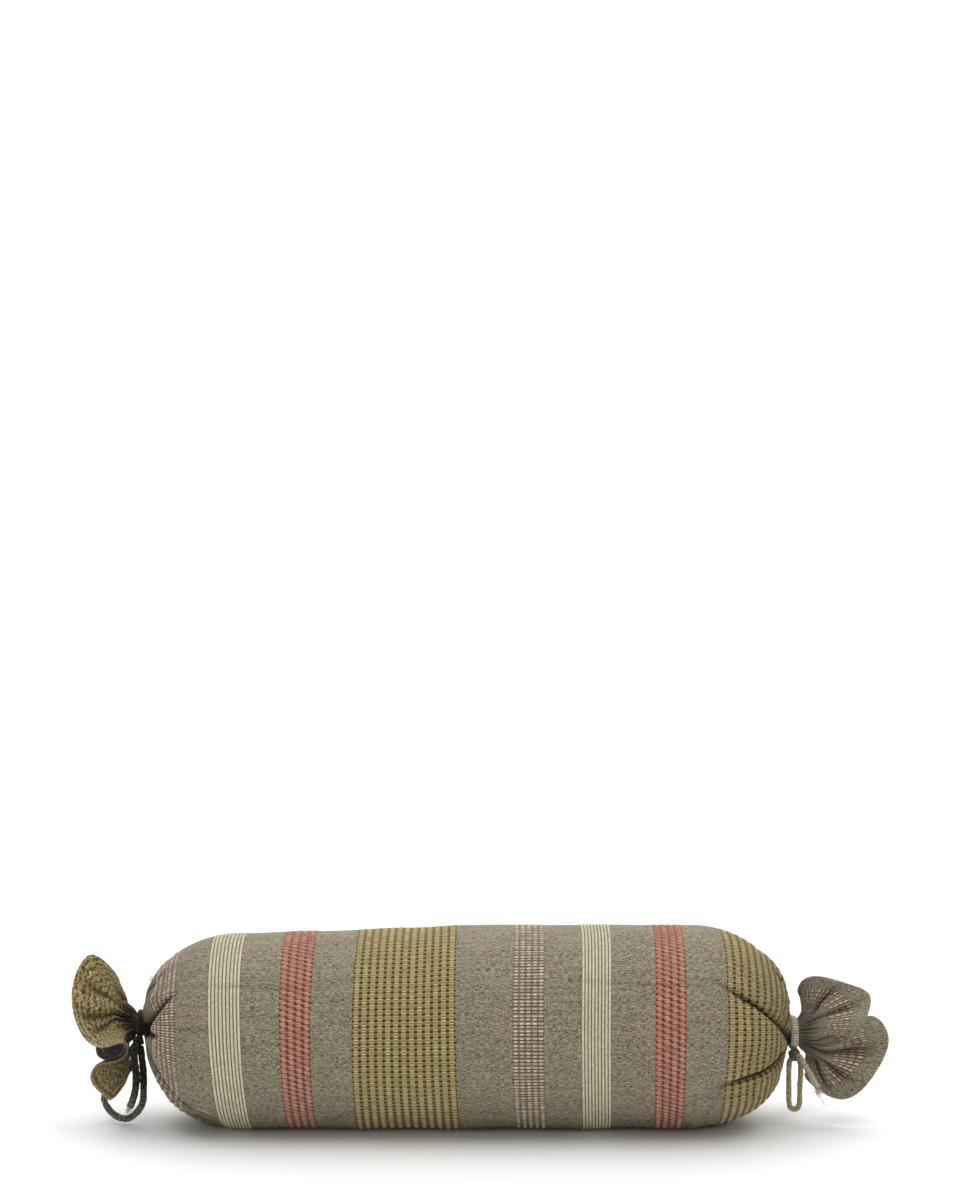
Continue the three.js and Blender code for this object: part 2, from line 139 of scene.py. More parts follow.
# The flounces past the ties. A row of a hem is the turn at which its cloth leaves the neck, a point of
# the hem (out along the bolster, front towards the viewer, up), and the curl that bends the hem back (-)
# or on (+). A fold presses the cloth in along a line from the neck: its turn, depth, width in degrees and
# reach.
FLOUNCES = {
    "left": {
        "slack": 1.08,
        "hem": (
            (92, 0.047, 0.006, 0.070, 0),
            (76, 0.056, 0.014, 0.060, 0.1),
            (60, 0.061, 0.024, 0.043, 0.2),
            (44, 0.060, 0.034, 0.026, 0.2),
            (30, 0.053, 0.044, 0.007, 0.1),
            (16, 0.041, 0.052, -0.008, -0.2),
            (6, 0.025, 0.056, -0.012, -0.5),
            (-3, 0.012, 0.052, -0.007, -0.6),
            (-12, 0.005, 0.044, -0.010, -0.6),
            (-20, 0.007, 0.042, -0.022, -0.3),
            (-30, 0.018, 0.046, -0.028, 0),
            (-40, 0.035, 0.037, -0.030, 0.2),
            (-50, 0.042, 0.040, -0.042, 0.2),
            (-60, 0.036, 0.044, -0.052, 0),
            (-72, 0.029, 0.030, -0.063, 0),
            (-84, 0.026, 0.019, -0.071, 0),
            (-95, 0.016, 0.014, -0.061, 0),
            (-105, 0.009, 0.008, -0.047, 0),
            (-118, 0.019, -0.005, -0.039, 0),
            (-134, 0.050, -0.026, -0.040, 0.1),
            (-156, 0.050, -0.050, -0.022, -0.1),
            (-178, 0.056, -0.056, -0.002, 0.2),
            (-198, 0.036, -0.056, 0.014, -0.1),
            (-216, 0.050, -0.042, 0.030, 0.1),
            (-234, 0.024, -0.026, 0.028, 0),
            (-247, 0.025, -0.011, 0.045, 0),
            (-258, 0.036, -0.003, 0.060, 0),
        ),
        "folds": (
            (36, 0.0040, 7, 0.75),
            (22, 0.0030, 6, 0.6),
            (64, 0.0025, 7, 0.55),
        ),
    },
    "right": {
        "slack": 1.06,
        "hem": (
            (126, 0.013, -0.022, 0.032, -0.2),
            (112, 0.006, -0.012, 0.038, -0.2),
            (97, 0.012, -0.004, 0.053, -0.2),
            (82, 0.030, 0.004, 0.055, 0),
            (66, 0.052, 0.014, 0.049, 0.1),
            (50, 0.072, 0.026, 0.044, 0.2),
            (34, 0.066, 0.038, 0.027, 0.1),
            (24, 0.059, 0.046, 0.013, 0),
            (16, 0.054, 0.043, 0.005, 0),
            (8, 0.052, 0.032, 0.004, 0),
            (-4, 0.060, 0.014, 0.011, 0),
            (-16, 0.072, 0.000, 0.017, 0),
            (-25, 0.084, 0.004, 0.014, 0.1),
            (-31, 0.090, 0.014, 0.002, 0.2),
            (-37, 0.089, 0.019, -0.010, 0.2),
            (-43, 0.082, 0.018, -0.027, 0.2),
            (-56, 0.067, 0.020, -0.048, 0.1),
            (-69, 0.049, 0.018, -0.062, 0),
            (-83, 0.030, 0.012, -0.058, 0),
            (-97, 0.015, 0.003, -0.047, -0.1),
            (-112, 0.013, -0.014, -0.042, -0.1),
            (-130, 0.036, -0.038, -0.050, 0),
            (-149, 0.064, -0.054, -0.037, 0.2),
            (-168, 0.048, -0.064, -0.024, 0),
            (-186, 0.072, -0.060, -0.004, 0.1),
            (-204, 0.046, -0.058, 0.016, -0.1),
            (-220, 0.027, -0.040, 0.022, 0),
        ),
        "folds": (
            (-38, 0.0040, 5, 0.6),
            (-58, 0.0045, 5, 0.65),
            (-78, 0.0030, 6, 0.6),
            (44, 0.0030, 6, 0.6),
            (72, 0.0030, 6, 0.6),
        ),
    },
}

# The hanging parts of the ties: each is a sewn tube of the cloth along its route.
TIES = {
    "tie_loop_left": {
        "radius": 0.0034,
        "route": (
            (-0.3174, -0.0138, 0.0757), (-0.3162, -0.0142, 0.0719), (-0.3152, -0.0148, 0.064),
            (-0.3135, -0.0165, 0.052), (-0.313, -0.018, 0.038), (-0.314, -0.018, 0.022),
            (-0.32, -0.017, 0.012), (-0.329, -0.016, 0.006), (-0.339, -0.013, 0.007),
            (-0.349, -0.007, 0.013), (-0.355, 0.001, 0.022), (-0.352, 0.009, 0.029),
            (-0.343, 0.013, 0.036), (-0.333, 0.012, 0.046), (-0.327, 0.005, 0.057),
            (-0.3257, -0.004, 0.0675), (-0.3246, -0.0105, 0.0738), (-0.3222, -0.0117, 0.0767),
        ),
    },
    "tie_tail_left": {
        "radius": 0.0036,
        "route": (
            (-0.3201, -0.0179, 0.0782), (-0.3209, -0.0213, 0.0762), (-0.321, -0.024, 0.066),
            (-0.319, -0.0245, 0.047), (-0.321, -0.024, 0.031), (-0.325, -0.024, 0.019),
        ),
    },
    "tie_loop_right": {
        "radius": 0.0026,
        "route": (
            (0.3169, -0.0127, 0.0636), (0.315, -0.013, 0.0601), (0.3142, -0.0145, 0.052),
            (0.3137, -0.0175, 0.038), (0.314, -0.018, 0.021), (0.3155, -0.0175, 0.017),
            (0.319, -0.017, 0.0152), (0.3225, -0.017, 0.017), (0.324, -0.017, 0.021),
            (0.3244, -0.0175, 0.038), (0.3256, -0.0155, 0.052), (0.3251, -0.013, 0.0601),
            (0.3231, -0.0127, 0.0636),
        ),
    },
    "tie_tail_right": {
        "radius": 0.0031,
        "route": (
            (0.3228, -0.0169, 0.0668), (0.3247, -0.0203, 0.0658), (0.3285, -0.0255, 0.059),
            (0.334, -0.031, 0.049), (0.339, -0.035, 0.04),
        ),
    },
}

# The stripes of the cloth from the left neck to the right one: each weave, and where its stripe stops,
# measured along the cloth from the middle of the roll.
ROLL_STRIPES = (
    ("grey", -0.310),
    ("dotted", -0.272),
    ("grey", -0.2385),
    ("cream", -0.2090),
    ("grey", -0.1734),
    ("pink", -0.1445),
    ("grey", -0.1060),
    ("olive", -0.0088),
    ("grey", 0.0438),
    ("dotted", 0.0736),
    ("grey", 0.1081),
    ("cream", 0.1361),
    ("grey", 0.1771),
    ("pink", 0.2060),
    ("grey", 0.2430),
    ("olive", 0.3545),
    ("grey", None),
)
# The stripes of each flounce, by the share of its length from the neck to the hem at which they stop.
FLOUNCE_STRIPES = {
    "left": (("ruffled", 1.0),),
    "right": (("grey", 0.46), ("dotted", 0.79), ("grey", 1.0)),
}
# Each weave: how wide a rib of it is, its rows round the cushion, and how far apart the mesh's lines are
# in it.
WEAVES = {
    "grey": {"rib": 0.0050, "rows": 120, "line": 0.0060},
    "olive": {"rib": 0.00746, "rows": 114, "line": 0.00373},
    "ruffled": {"rib": 0.0058, "rows": 138, "line": 0.00373},
    "dotted": {"rib": 0.00596, "rows": 90, "line": 0.0038},
    "cream": {"rib": 0.00320, "rows": 224, "line": 0.00320},
    "pink": {"rib": 0.00723, "rows": 112, "line": 0.0036},
}
# How far the stripes lean off the straight round the roll: the shift at the top and at the underside.
LEANS = (
    {"x": -0.362, "top": 0.0, "under": 0.0},
    {"x": -0.241, "top": -0.0070, "under": 0.0050},
    {"x": -0.107, "top": 0.0010, "under": 0.0020},
    {"x": -0.010, "top": 0.0, "under": 0.0040},
    {"x": 0.044, "top": 0.0026, "under": 0.0050},
    {"x": 0.177, "top": 0.0050, "under": 0.0040},
    {"x": 0.243, "top": 0.0030, "under": -0.0030},
    {"x": 0.362, "top": 0.0, "under": 0.0},
)


def clamp(value, low, high):
    return np.clip(value, low, high)


def smooth(value):
    """0 to 1 as the value goes from 0 to 1, with soft ends."""
    held = clamp(value, 0.0, 1.0)
    return held * held * (3.0 - 2.0 * held)


def mix(low, high, share):
    return low + (high - low) * share


def dip(away, width):
    """1 on a line, falling towards 0 away from it."""
    return np.exp(-(np.abs(away / width) ** DIP_POWER))


def turns_of(share):
    """Turns in degrees from shares of a turn, which start at the underside."""
    return share * 360.0 - 90.0


def steps_from_ends(count):
    """For each of a row of things, how many steps it is from the nearer end of the row."""
    return np.minimum(np.arange(count), np.arange(count)[::-1])


def turn_between(a, b):
    return (a - b + 180.0) % 360.0 - 180.0


def unit(vectors):
    return vectors / np.maximum(np.linalg.norm(vectors, axis=-1, keepdims=True), 1e-12)


def along_table(table, column, x):
    """A column of a table with rows by x, eased from row to row."""
    places = np.array([row["x"] for row in table])
    values = np.array([row[column] for row in table])
    after = np.clip(np.searchsorted(places, x), 1, len(places) - 1)
    share = (x - places[after - 1]) / (places[after] - places[after - 1])
    return mix(values[after - 1], values[after], smooth(share))


def spline(points, places, closed=False):
    """Smooth values along the first axis of points, at fractional places."""
    count = len(points)
    low = np.floor(places).astype(int)
    if not closed:
        low = np.minimum(low, count - 2)
    t = (places - low).reshape((-1,) + (1,) * (points.ndim - 1))
    rows = [low + k for k in (-1, 0, 1, 2)]
    a, b, c, d = (points[row % count if closed else np.clip(row, 0, count - 1)] for row in rows)
    return 0.5 * (2 * b + (c - a) * t + (2 * a - 5 * b + 4 * c - d) * t**2 + (3 * b - a - 3 * c + d) * t**3)


# The filled roll: its creases and small pleats at the necks, and how a dome's underside springs off the
# surface. A crease is at full depth from its start, a length, to its full, a share of its reach.
CREASE = {"start": 0.026, "full": 0.35}
PLEAT = {"depth": 0.0018, "start": 0.014, "reach": 0.060, "sway": 2.0, "sways": 3.0, "phase": 1000.0}
HEEL = {"lift": 0.0018, "run": 0.010}
LEAN_START = 4.0  # degrees of a dome's arc over which its lean sets in
COLUMNS = 140


def barrel_end(end):
    return end["side"] * (end["stop"] - end["dome"])


def dome_arc(end):
    rise = along_table(GIRTH, "radius", barrel_end(end)) - end["neck_radius"]
    return math.hypot(end["dome"], rise) * DOME_ARC


def neck_place(end):
    """Where the neck lies along the cloth, from the middle of the roll."""
    return barrel_end(end) + end["side"] * dome_arc(end)


def creases_at(end, from_neck, radius, turn):
    """Each crease of an end, the share of its reach that every place has, and how far beside it each lies."""
    for crease in end["creases"]:
        far = from_neck / crease["reach"]
        line = crease["turn"] + crease["drift"] * far
        yield crease, far, np.radians(turn_between(turn, line)) * radius


def drawn_in(end, from_neck, radius, turn):
    """How far creases and small pleats draw the cloth in."""
    depth = np.zeros_like(turn)
    for crease, far, away in creases_at(end, from_neck, radius, turn):
        along = 1.0 - smooth((far - CREASE["full"]) / (1.0 - CREASE["full"]))
        along = along * smooth(from_neck / CREASE["start"])
        depth = depth + crease["depth"] * along * dip(away, crease["width"])
    sway = np.sin(np.radians(turn) * PLEAT["sways"] + end["dome"] * PLEAT["phase"])
    wave = np.radians(turn) * end["pleats"] + PLEAT["sway"] * sway
    fade = smooth(from_neck / PLEAT["start"]) * (1.0 - smooth(from_neck / PLEAT["reach"]))
    return depth + PLEAT["depth"] * fade * (1.0 - np.abs(np.sin(wave / 2.0)))


def settled(z):
    """Height on the surface below, eased in over the flat blend."""
    blend = (z + FLAT_BLEND) ** 2 / (4.0 * FLAT_BLEND)
    return np.where(z < -FLAT_BLEND, 0.0, np.where(z > FLAT_BLEND, z, blend))


def roll_point(x, radius, turn, height):
    z = height + radius * np.sin(np.radians(turn))
    y = -radius * WIDER * np.cos(np.radians(turn))
    return np.stack([x + 0.0 * y, y, settled(z)], axis=-1)


def dome_point(end, from_neck, turn):
    """A point on an end's dome, or on its neck where from_neck is negative."""
    start = barrel_end(end)
    girth = along_table(GIRTH, "radius", start)
    axis = along_table(GIRTH, "height", start)
    rise = girth - end["neck_radius"]
    swing = clamp(from_neck / dome_arc(end), 0.0, 1.0) * math.pi / 2.0
    s, c = np.sin(swing), np.cos(swing)
    across = unit(np.stack([rise * c, end["dome"] * s], axis=-1))
    radius = end["neck_radius"] + rise * s
    depth = drawn_in(end, np.maximum(from_neck, 0.0), radius, turn)
    up = np.sin(np.radians(turn))
    leaning = end["lean"] * radius * up * (1.0 - smooth(s)) * smooth(np.degrees(swing) / LEAN_START)
    out = end["dome"] * c + leaning - across[..., 0] * depth - np.minimum(from_neck, 0.0)
    height = mix(end["neck_height"], axis, smooth(s))
    point = roll_point(start + end["side"] * out, radius - across[..., 1] * depth, turn, height)
    point[..., 2] += HEEL["lift"] * smooth(end["dome"] * c / HEEL["run"]) * (1.0 - up) / 2.0 * smooth(s)
    return point


def leaned(place, turn):
    """A place along the cloth, shifted as its stripe leans."""
    up = np.sin(np.radians(turn))
    top, under = along_table(LEANS, "top", place), along_table(LEANS, "under", place)
    return place + (top - under) / 2.0 * up + (top + under) / 2.0 * up * up


def roll_surface(place, turn):
    """Points of the roll at places along the cloth and turns round it."""
    place = leaned(place, turn)
    radius, height = (along_table(GIRTH, column, place) for column in ("radius", "height"))
    points = roll_point(place, radius, turn, height)
    for end in ENDS.values():
        from_neck = end["side"] * (neck_place(end) - place)
        on_dome = end["side"] * place > end["side"] * barrel_end(end)
        points = np.where(on_dome[..., None], dome_point(end, from_neck, turn), points)
    return points


# The cover's fine relief: the sharp bottom of each crease, small gathers at the necks, the uneven filling,
# and faint wrinkles along the roll, with shade painted into the creases, gathers, wrinkles and necks. Widths
# and depths are in metres, and a painted shade is a share of the light.
CORE = {"depth": 0.0035, "width": 0.0026, "start": 0.003, "full": 0.72, "fade": 0.38, "spread": 0.62}
CORE_WIDTH = (0.7, 1.3)  # how many times as wide a crease's bottom is at the neck and at the barrel
CORE_SHADE = {"near": 1.15, "narrows": 0.6, "least": 0.1}  # and its shade, by the share of its reach
SMALL_GATHERS = {"depth": 0.0009, "folds": 41, "start": 0.004, "reach": 0.050, "dark": 0.30}
GATHER_SWAY = {"by": 3.0, "sways": 4.0}
NECK_SHADE = {"dark": 0.35, "reach": 0.012}
DOME_RISE = 0.085
LUMPS = {"depth": 0.0007, "along": 61.0, "round": 5.0, "sway": 2.0}
WRINKLE = {"sway": 1.3, "sways": 7.0, "dark": 0.16, "shade_width": 0.8}
MOST_SHADE = 0.92
# Each wrinkle runs from one x to another at a turn.
WRINKLES = (
    {"from": 0.075, "to": 0.250, "turn": 35.5, "depth": 0.0009, "width": 0.0024},
    {"from": -0.275, "to": -0.105, "turn": 36.5, "depth": 0.0009, "width": 0.0024},
    {"from": -0.290, "to": -0.235, "turn": 12.0, "depth": 0.0011, "width": 0.0022},
    {"from": 0.200, "to": 0.275, "turn": -33.0, "depth": 0.0012, "width": 0.0026},
    {"from": -0.120, "to": 0.020, "turn": 128.0, "depth": 0.0010, "width": 0.0026},
    {"from": 0.060, "to": 0.240, "turn": 171.0, "depth": 0.0011, "width": 0.0026},
    {"from": -0.270, "to": -0.140, "turn": 196.0, "depth": 0.0012, "width": 0.0026},
)


def fine_relief(place, turn):
    """How far the cover's fine folds lie inwards, and the shade painted into their bottoms and over the domes
    near the necks.
    """
    angle = np.radians(turn)
    lumps = np.sin(place * LUMPS["along"] + LUMPS["sway"] * np.sin(angle * 2.0))
    depth = LUMPS["depth"] * lumps * np.sin(angle * LUMPS["round"] + 1.0)
    dark = np.zeros_like(depth)
    for end in ENDS.values():
        from_neck = np.maximum(end["side"] * (neck_place(end) - place), 0.0)
        share = clamp(from_neck / dome_arc(end), 0.0, 1.0)
        radius = end["neck_radius"] + DOME_RISE * np.sin(share * math.pi / 2.0)
        for crease, far, away in creases_at(end, from_neck, radius, turn):
            along = smooth(from_neck / CORE["start"]) * (1.0 - smooth((far - CORE["full"]) / CORE["fade"]))
            depth = depth + CORE["depth"] * along * dip(away, CORE["width"] * mix(*CORE_WIDTH, share))
            width = np.maximum(CORE_SHADE["near"] - CORE_SHADE["narrows"] * far, CORE_SHADE["least"])
            dark = dark + along * dip(away, crease["width"] * CORE["spread"] * width)
        sway = np.sin(angle * GATHER_SWAY["sways"] + end["side"])
        wave = angle * SMALL_GATHERS["folds"] + GATHER_SWAY["by"] * sway
        valley = (1.0 - np.abs(np.sin(wave / 2.0))) ** 2
        fade = smooth(from_neck / SMALL_GATHERS["start"]) * (1.0 - smooth(from_neck / SMALL_GATHERS["reach"]))
        depth = depth + SMALL_GATHERS["depth"] * fade * valley
        dark = dark + SMALL_GATHERS["dark"] * fade * valley
        dark = dark + NECK_SHADE["dark"] * (1.0 - smooth(from_neck / NECK_SHADE["reach"]))
        dark = dark + end["unlit"] * (1.0 - smooth(share))
    for wrinkle in WRINKLES:
        length = wrinkle["to"] - wrinkle["from"]
        along = clamp((place - wrinkle["from"]) / length, 0.0, 1.0)
        line = wrinkle["turn"] + WRINKLE["sway"] * np.sin(along * WRINKLE["sways"])
        away = np.radians(turn_between(turn, line)) * GIRTH[-1]["radius"]
        held = np.sin(along * math.pi)
        depth = depth + wrinkle["depth"] * held * dip(away, wrinkle["width"])
        dark = dark + WRINKLE["dark"] * held * dip(away, wrinkle["width"] * WRINKLE["shade_width"])
    return depth, clamp(dark, 0.0, MOST_SHADE)


def outward(surface):
    """The outward direction at each point of a surface of rings round the bolster."""
    ahead = np.gradient(surface, axis=0)
    return unit(np.cross(ahead, np.roll(surface, -1, axis=1) - np.roll(surface, 1, axis=1)))


def stripe_lines(stripes, start, stop, scale=1.0):
    """The mesh's lines across the stripes: their places, and each gap's weave and first and last rib."""
    lines, gaps = [start], []
    for weave, edge in stripes:
        edge = stop if edge is None else edge
        kind = WEAVES[weave]
        steps = max(1, round((edge - lines[-1]) * scale / kind["line"]))
        ribs = max(1, round((edge - lines[-1]) * scale / kind["rib"]))
        first = lines[-1]
        for step in range(steps):
            lines.append(mix(first, edge, (step + 1) / steps))
            gaps.append((weave, ribs * step / steps, ribs * (step + 1) / steps))
    return np.array(lines), gaps


def tube_faces(lines, columns):
    """Quads between rings of points, and a fan at each end on its middle point, which follows the rings."""
    k = np.arange(columns)
    after = (k + 1) % columns
    ring = np.arange(lines - 1)[:, None] * columns
    quads = np.stack([ring + k, ring + columns + k, ring + columns + after, ring + after], -1)
    faces = quads.reshape(-1, 4).tolist()
    for number, (start, order) in enumerate(((0, 1), ((lines - 1) * columns, -1))):
        middle = np.full(columns, lines * columns + number)
        faces += np.stack([start + k, start + after, middle], -1)[:, ::order].tolist()
    return faces


def cloth_layers(places, gaps, turns, rows_shown):
    """The map of each quad's corners in millimetres along and round the cloth, and in ribs and rows."""
    share = np.append(turns, turns[0] + 1.0)
    around = np.stack([share[:-1], share[:-1], share[1:], share[1:]], -1)[None]
    rows = np.array([WEAVES[weave]["rows"] * rows_shown for weave, _, _ in gaps])[:, None, None]
    first, last = np.array([ribs for _, *ribs in gaps]).T

    def corners(begin, stop, round_it):
        round_it = np.broadcast_to(round_it, (len(gaps), len(turns), 4))
        along = np.broadcast_to(np.stack([begin, stop, stop, begin], -1)[:, None, :], round_it.shape)
        return np.stack([along, round_it], -1).reshape(-1, 2)

    return {
        "Cloth": corners(places[:-1], places[1:], around * ROUND) * MILLIMETRES,
        "Weave": corners(first, last, around * rows),
    }


def woven_mesh(name, points, places, gaps, turns, materials, shade=None, rows_shown=1.0):
    """A closed tube of woven cloth from rings of points, lines by columns, where the last column meets the
    first. The shade of each point is painted shade: how much darker its colour is drawn, as at a fold's
    bottom."""
    lines, columns = points.shape[:2]
    middles = [points[ring].mean(axis=0) for ring in (0, -1)]
    mesh = bpy.data.meshes.new(name)
    mesh.from_pydata(np.vstack([points.reshape(-1, 3), *middles]).tolist(), [], tube_faces(lines, columns))
    names = list(dict.fromkeys(weave for weave, _, _ in gaps))
    for weave in names:
        mesh.materials.append(materials[weave])
    for label, values in cloth_layers(places, gaps, turns, rows_shown).items():
        fan = ((len(mesh.loops) - len(values)) // 2, 2)
        fans = [np.broadcast_to(value, fan) for value in (values[0], values[-1])]
        mesh.uv_layers.new(name=label).data.foreach_set("uv", np.vstack([values, *fans]).ravel())
    slots = [names.index(weave) for weave, _, _ in gaps]
    slots = np.repeat(slots + [slots[0], slots[-1]], columns)
    mesh.polygons.foreach_set("material_index", slots)
    mesh.polygons.foreach_set("use_smooth", np.ones(len(mesh.polygons), bool))
    if shade is not None:
        ends = [float(shade[0].mean()), float(shade[-1].mean())]
        attribute = mesh.attributes.new("shade", "FLOAT", "POINT")
        attribute.data.foreach_set("value", np.concatenate([shade.ravel(), ends]))
    mesh.update()
    face_out(mesh)
    made = bpy.data.objects.new(name, mesh)
    bpy.context.scene.collection.objects.link(made)
    return made


def points_of(mesh):
    points = np.zeros(len(mesh.vertices) * 3)
    mesh.vertices.foreach_get("co", points)
    return points.reshape(-1, 3)


def face_out(mesh):
    """Turns all faces of a closed mesh if they point inwards."""
    mesh.calc_loop_triangles()
    corners = np.zeros(len(mesh.loop_triangles) * 3, int)
    mesh.loop_triangles.foreach_get("vertices", corners)
    a, b, c = points_of(mesh)[corners.reshape(-1, 3)].transpose(1, 0, 2)
    if np.einsum("ij,ij->i", a, np.cross(b, c)).sum() < 0:
        mesh.flip_normals()


def settle_cloth(surface, share, drawn):
    """The roll's cloth swollen by its filling: a cloth simulation, kept close to the surface it starts from,
    and closest where creases are drawn in."""
    lines, columns = surface.shape[:2]
    gaps = [("grey", 0.0, 1.0)] * (lines - 1)
    made = woven_mesh("settling", surface, np.linspace(0.0, 1.0, lines), gaps, share, {"grey": None})
    fill = bpy.context.scene.bolster_fill
    held = made.vertex_groups.new(name="held")
    for ring, steps in enumerate(steps_from_ends(lines)):
        weight = float(1.0 - smooth((steps - fill.held_lines) / fill.held_lines))
        if weight > 0.0:
            held.add(list(range(ring * columns, (ring + 1) * columns)), weight, "REPLACE")
    held.add([lines * columns, lines * columns + 1], 1.0, "REPLACE")
    cloth = made.modifiers.new("Cloth", "CLOTH")
    settings = {
        "quality": 4,
        "mass": fill.cloth_weight,
        "tension_stiffness": fill.stiffness,
        "compression_stiffness": fill.stiffness,
        "shear_stiffness": fill.stiffness / 3.0,
        "bending_stiffness": fill.bending,
        "shrink_min": -fill.spare_cloth,
        "use_pressure": True,
        "uniform_pressure_force": fill.pressure,
        "vertex_group_mass": "held",
    }
    for name, value in settings.items():
        setattr(cloth.settings, name, value)
    cloth.settings.effector_weights.gravity = 0.0
    cloth.point_cache.frame_start = 1
    cloth.point_cache.frame_end = fill.frames
    for step in range(1, fill.frames + 1):
        bpy.context.scene.frame_set(step)
    shaped = made.evaluated_get(bpy.context.evaluated_depsgraph_get())
    moved = points_of(shaped.data)[: lines * columns].reshape(surface.shape) - surface
    bpy.context.scene.frame_set(1)
    mesh = made.data
    bpy.data.objects.remove(made)
    bpy.data.meshes.remove(mesh)
    out = outward(surface)
    far = clamp((moved * out).sum(axis=-1, keepdims=True), -fill.most_move, fill.most_move)
    swollen = surface + out * far * (1.0 - drawn[..., None])
    swollen[..., 2] = settled(swollen[..., 2])
    return swollen


# The flounces: how finely their cloth is made and evened out, how gathers, puckers and folds press it and
# how gathers, necks and folds take painted shade, and how it bends from the neck to the hem.
HEM_SIDES = 88
WALL_RINGS = 8
SETTLING = 8
HEM_SETTLING = 4
GATHER = {"depth": 0.0014, "small": 0.0009, "folds": 22, "start": 6.0, "fade": 0.6, "dark": 0.6}
PUCKER = {"shift": 0.0012, "start": 3.0, "folds": 0.73, "lean": 9.0, "sway": 0.19, "stop": 0.86}
PUCKER_FADE = 0.06
FOLD = {"start": 5.0, "dark_width": 0.6}
# How much shade is painted on each flounce at its neck and in its folds.
SHADED = {"left": (0.62, 0.60), "right": (0.18, 0.66)}
NECK_FADE = 0.42  # the share of its length over which the painted shade at a flounce's neck fades
DARKEST_FOLD = 0.9
BEND = {"out": 0.75, "away": 0.65, "short": 0.8, "least": 0.002, "most": 0.060}
BEND_TRIES = 12
BEND_SAMPLES = 200
CLOTH = 0.0013  # thickness of one layer of the cloth
HEM = 0.0022  # thickness of the turned hem
HEM_WIDTH = 0.006
HEM_STEP = 0.001  # how soon the hem thins to one layer
BUNCHED = 0.022  # how far past the neck the gathered cloth fills the flounce


def bezier(a, b, c, d, samples):
    t = np.linspace(0.0, 1.0, samples + 1)[None, :, None]
    a, b, c, d = (point[:, None, :] for point in (a, b, c, d))
    return (1 - t) ** 3 * a + 3 * (1 - t) ** 2 * t * b + 3 * (1 - t) * t**2 * c + t**3 * d


def lengths_along(lines):
    steps = np.linalg.norm(np.diff(lines, axis=1), axis=-1)
    return np.concatenate([np.zeros((len(lines), 1)), np.cumsum(steps, axis=1)], axis=1)


def cloth_lines(shape, end, wrap):
    """The flounce's cloth as lines from the neck to the hem, in out, front and up, and each line's turn."""
    rows = np.array(shape["hem"], float)
    count = len(rows)
    rows[:, 0] += 360.0 * np.arange(count) / count
    share = np.arange(HEM_SIDES) / HEM_SIDES
    values = spline(rows, share * count, closed=True)
    turn, hem, curl = values[:, 0] - 360.0 * share, values[:, 1:4], values[:, 4]
    away = np.stack([0.0 * turn, np.cos(np.radians(turn)), np.sin(np.radians(turn))], axis=-1)
    start = away * end["neck_radius"]
    start[:, 0] = wrap["half"] + SEAT
    leave = np.array([BEND["out"], 0.0, 0.0]) + away * BEND["away"]
    arrive = unit(hem - start)
    arrive[:, 0] += curl
    arrive = unit(arrive)
    wanted = np.linalg.norm(hem - start, axis=-1) * shape["slack"]

    def bent(pull):
        pull = pull[:, None]
        return bezier(start, start + leave * pull * BEND["short"], hem - arrive * pull, hem, BEND_SAMPLES)

    low, high = np.full(HEM_SIDES, BEND["least"]), np.full(HEM_SIDES, BEND["most"])
    for _ in range(BEND_TRIES):
        middle = (low + high) / 2.0
        short = lengths_along(bent(middle))[:, -1] < wanted
        low, high = np.where(short, middle, low), np.where(short, high, middle)
    fine = bent(low)
    far = lengths_along(fine)
    lines = np.zeros((HEM_SIDES, WALL_RINGS + 1, 3))
    for k in range(HEM_SIDES):
        at = np.linspace(0.0, far[k, -1], WALL_RINGS + 1)
        for axis in range(3):
            lines[k, :, axis] = np.interp(at, far[k], fine[k, :, axis])
    for step in range(SETTLING):
        last = WALL_RINGS if step < HEM_SETTLING else WALL_RINGS - 1
        between = (np.roll(lines, 1, axis=0) + np.roll(lines, -1, axis=0)) / 2.0
        lines[:, 1 : last + 1] = mix(lines, between, 0.5)[:, 1 : last + 1]
    return lines, turn


def placed(points, end, wrap):
    """Points in out, front and up, moved to their end of the roll."""
    start = end["side"] * (end["stop"] + wrap["half"] + SEAT)
    out, front, up = points[..., 0], points[..., 1], points[..., 2]
    return np.stack([start + end["side"] * out, -front, end["neck_height"] + up], axis=-1)


def placed_way(ways, end):
    """Directions in out, front and up, turned as their end of the roll is."""
    return np.stack([end["side"] * ways[..., 0], -ways[..., 1], ways[..., 2]], axis=-1)


